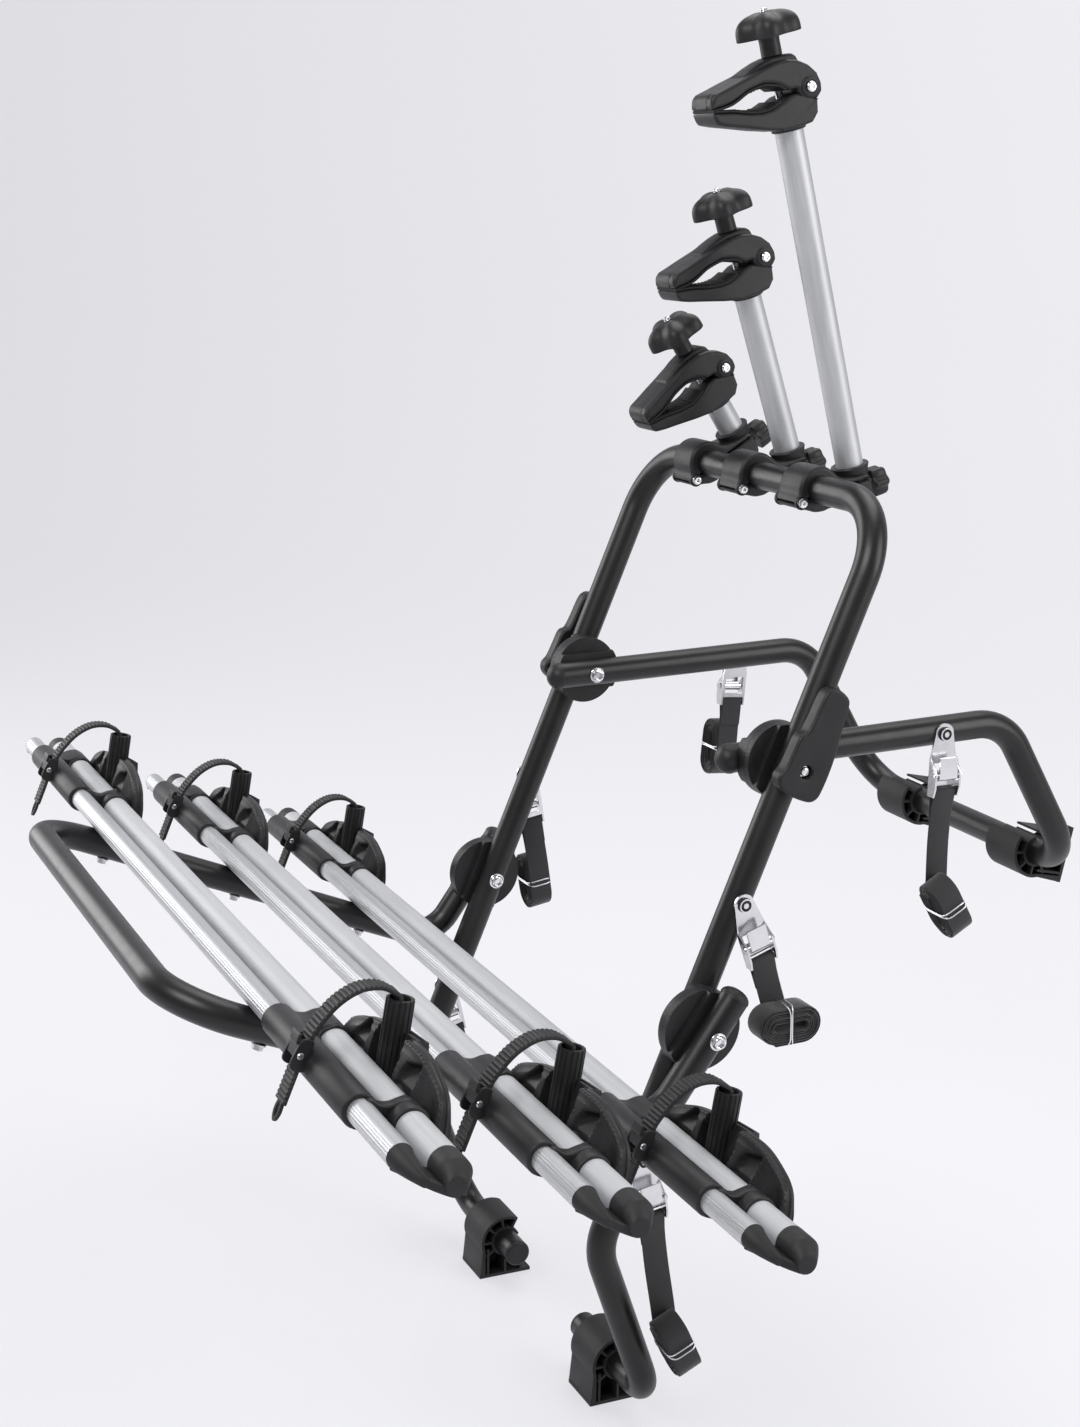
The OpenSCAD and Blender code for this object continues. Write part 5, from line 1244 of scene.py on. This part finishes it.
# The folded platform's stubs turn down on the hoop's webbing, so their plugs are flatter
tube_plugs("platform_plugs", "platform", "platform_tube", STUB_END, STUB_DIR, HALF_PLATFORM, 0.68)

BOLT_CAP = [[0.01, 2.4], [2.2, 2.4], [3.0, 4.3], [5.6, 4.1], [7.0, 3.0], [7.5, 1.0], [7.5, 0.0]]
caps = {"hoop": Surface(), "upper_frame": Surface()}
for body, x, p, swings in (("hoop", HALF_HOOP, UPPER_STRAP, (10, 19.5)), ("hoop", HALF_HOOP, FOOT_STRAP, (14, 9.6)),
                           ("upper_frame", HALF_FRAME, FRAME_STRAP, (-4, 0))):
    for out, swing in zip((-1, 1), swings):
        place = strap_place(x, p, out, swing).inner((2.0, 0, 0), [[0, 1, 0], [0, 0, 1], [1, 0, 0]])
        caps[body].grid(place.at(turned(BOLT_CAP, 40)), ends=False)
for body, surface in caps.items():
    finished(surface.make("strap_bolt_caps_" + body, 40), body, RUBBER, "black_plastic")

# Mouldings and fittings that keep the solids' shapes ---------------------------------------

CAM_LEVERS = ["cam_lever_%s_%s" % (a, b) for a in ("hoop", "foot", "frame") for b in ("left", "right")]
PLAIN = [
    (["hoop_end_caps"], PLASTIC, "black_plastic", 1.8),
    (["lower_foot_pads", "upper_foot_pads"], PLASTIC_MATT, "black_plastic", 0.5),
    (["hoop_hinge_discs", "upper_frame_discs", "platform_discs"], PLASTIC, "black_plastic", 1.6),
    (["rail_bolts"], ZINC, "zinc_steel", 0.5),
    (["hoop_buckles", "frame_buckles"], BRIGHT, "bright_steel", 0.4),
    (CAM_LEVERS, BRIGHT, "bright_steel", 0.5),
]
for names, material, slot, edge in PLAIN:
    for name in names:
        moulded(name, BODY_OF[name], material, slot, edge)

# Studio ------------------------------------------------------------------------------------

PAPER_AZ = 65.06


def backdrop():
    """Floor that curves up far behind the rack: height is a quarter round, then a wall."""
    away = np.array([-sin_of(PAPER_AZ), cos_of(PAPER_AZ), 0])
    beside = np.array([away[1], -away[0], 0])
    a = np.linspace(0, np.pi / 2, 33)
    run = np.concatenate([[-6000, 0, 3000], 4200 + 3000 * np.sin(a), [7200]])
    rise = np.concatenate([[0, 0, 0], 3000 * (1 - np.cos(a)), [12000]])
    w = np.linspace(-14000, 14000, 5)
    p = run[:, None, None] * away + w[None, :, None] * beside + rise[:, None, None] * (0, 0, 1.0)
    p[..., 2] -= 0.3
    return Surface().grid(p, wrap_cols=False, ends=False).make("studio_floor", 80)


def paper():
    """Pale paper floor: glows pale to the camera, with painted light falloff across it, and a faint gloss that keeps
    the feet's reflection.
    """
    f = Finish("paper", (0.84, 0.84, 0.865), 0.25, **{"Specular IOR Level": 0.35})
    path = f.tree.nodes.new("ShaderNodeLightPath")
    seen, glossy = (Socket(f.tree, path.outputs[name]) for name in ("Is Camera Ray", "Is Glossy Ray"))
    shade = (0.70 * seen + 0.5 * glossy).clamped()
    x, y, _ = f.split(f.place)
    c, s = cos_of(PAPER_AZ), sin_of(PAPER_AZ)
    beside, away = c * x + s * y, c * y - s * x
    # Painted light falloff: the glow grows brighter towards the camera's right and further back.
    painted_light_falloff = (0.22 + 0.145 * beside + 0.066 * away).clamped()
    colour = f.mixed(painted_light_falloff, (0.79, 0.785, 0.825), (1.05, 1.045, 1.08))
    glow = node(f.tree, "ShaderNodeEmission", {}, {"Color": colour, "Strength": 1.0})
    mix = node(f.tree, "ShaderNodeMixShader", {}, {0: shade, 1: Socket(f.tree, f.shader.outputs[0]), 2: glow})
    f.tree.links.new(mix.link, f.tree.nodes["Material Output"].inputs["Surface"])
    return f.material


floor = backdrop()
floor.data.materials.append(paper())


def aimed(name, data, at, right, up, back):
    """Lamp or camera at a point in metres, with its three axes."""
    holder = bpy.data.objects.new(name, data)
    bpy.context.scene.collection.objects.link(holder)
    holder.matrix_world = Matrix([[right[k], up[k], back[k], at[k]] for k in range(3)] + [[0, 0, 0, 1]])
    return holder


def lamp(name, at, aim, size, power):
    """Soft box lamp at a point, its face towards its aim."""
    light = bpy.data.lights.new(name, "AREA")
    light.shape, light.size, light.size_y, light.energy = "RECTANGLE", *size, power
    z = unit(np.array(at, float) - np.array(aim, float))
    x = unit(np.cross((0, 0, 1.0), z))
    aimed(name, light, at, x, np.cross(z, x), z)


lamp("key", (1.6, -2.4, 3.2), (0, 0, 0.6), (2.2, 1.4), 90)
lamp("left", (-2.6, -1.8, 1.6), (0, 0, 0.6), (1.8, 2.2), 50)
lamp("right", (2.4, 2.2, 1.8), (0, 0, 0.7), (1.6, 2.4), 55)
lamp("top", (-0.6, 0.8, 3.6), (0, 0, 0.5), (2.4, 2.4), 60)

world = bpy.data.worlds.new("studio")
bpy.context.scene.world = world
world.use_nodes = True
background = world.node_tree.nodes["Background"].inputs
background["Color"].default_value = (0.86, 0.86, 0.89, 1)
background["Strength"].default_value = 0.4

# Camera, solved from the photograph's own frame
CAMERA_AT = np.array([2007.98, -989.76, 794.44 + HINGE_H])
AZ, EL, ROLL, FOCAL_PX, WIDTH_PX = 65.0589, 13.4844, 1.3352, 2143.36, 1080.0
back = np.array([sin_of(AZ) * cos_of(EL), -cos_of(AZ) * cos_of(EL), sin_of(EL)])
level = np.array([cos_of(AZ), sin_of(AZ), 0])
upright = np.cross(back, level)
right = level * cos_of(ROLL) + upright * sin_of(ROLL)
up = upright * cos_of(ROLL) - level * sin_of(ROLL)
lens = bpy.data.cameras.new("camera")
lens.sensor_fit, lens.sensor_width = "HORIZONTAL", 36.0
lens.lens = lens.sensor_width * FOCAL_PX / WIDTH_PX
lens.clip_end = 60
scene = bpy.context.scene
scene.camera = aimed("camera", lens, CAMERA_AT * MM, right, up, back)
scene.view_settings.view_transform = "Standard"
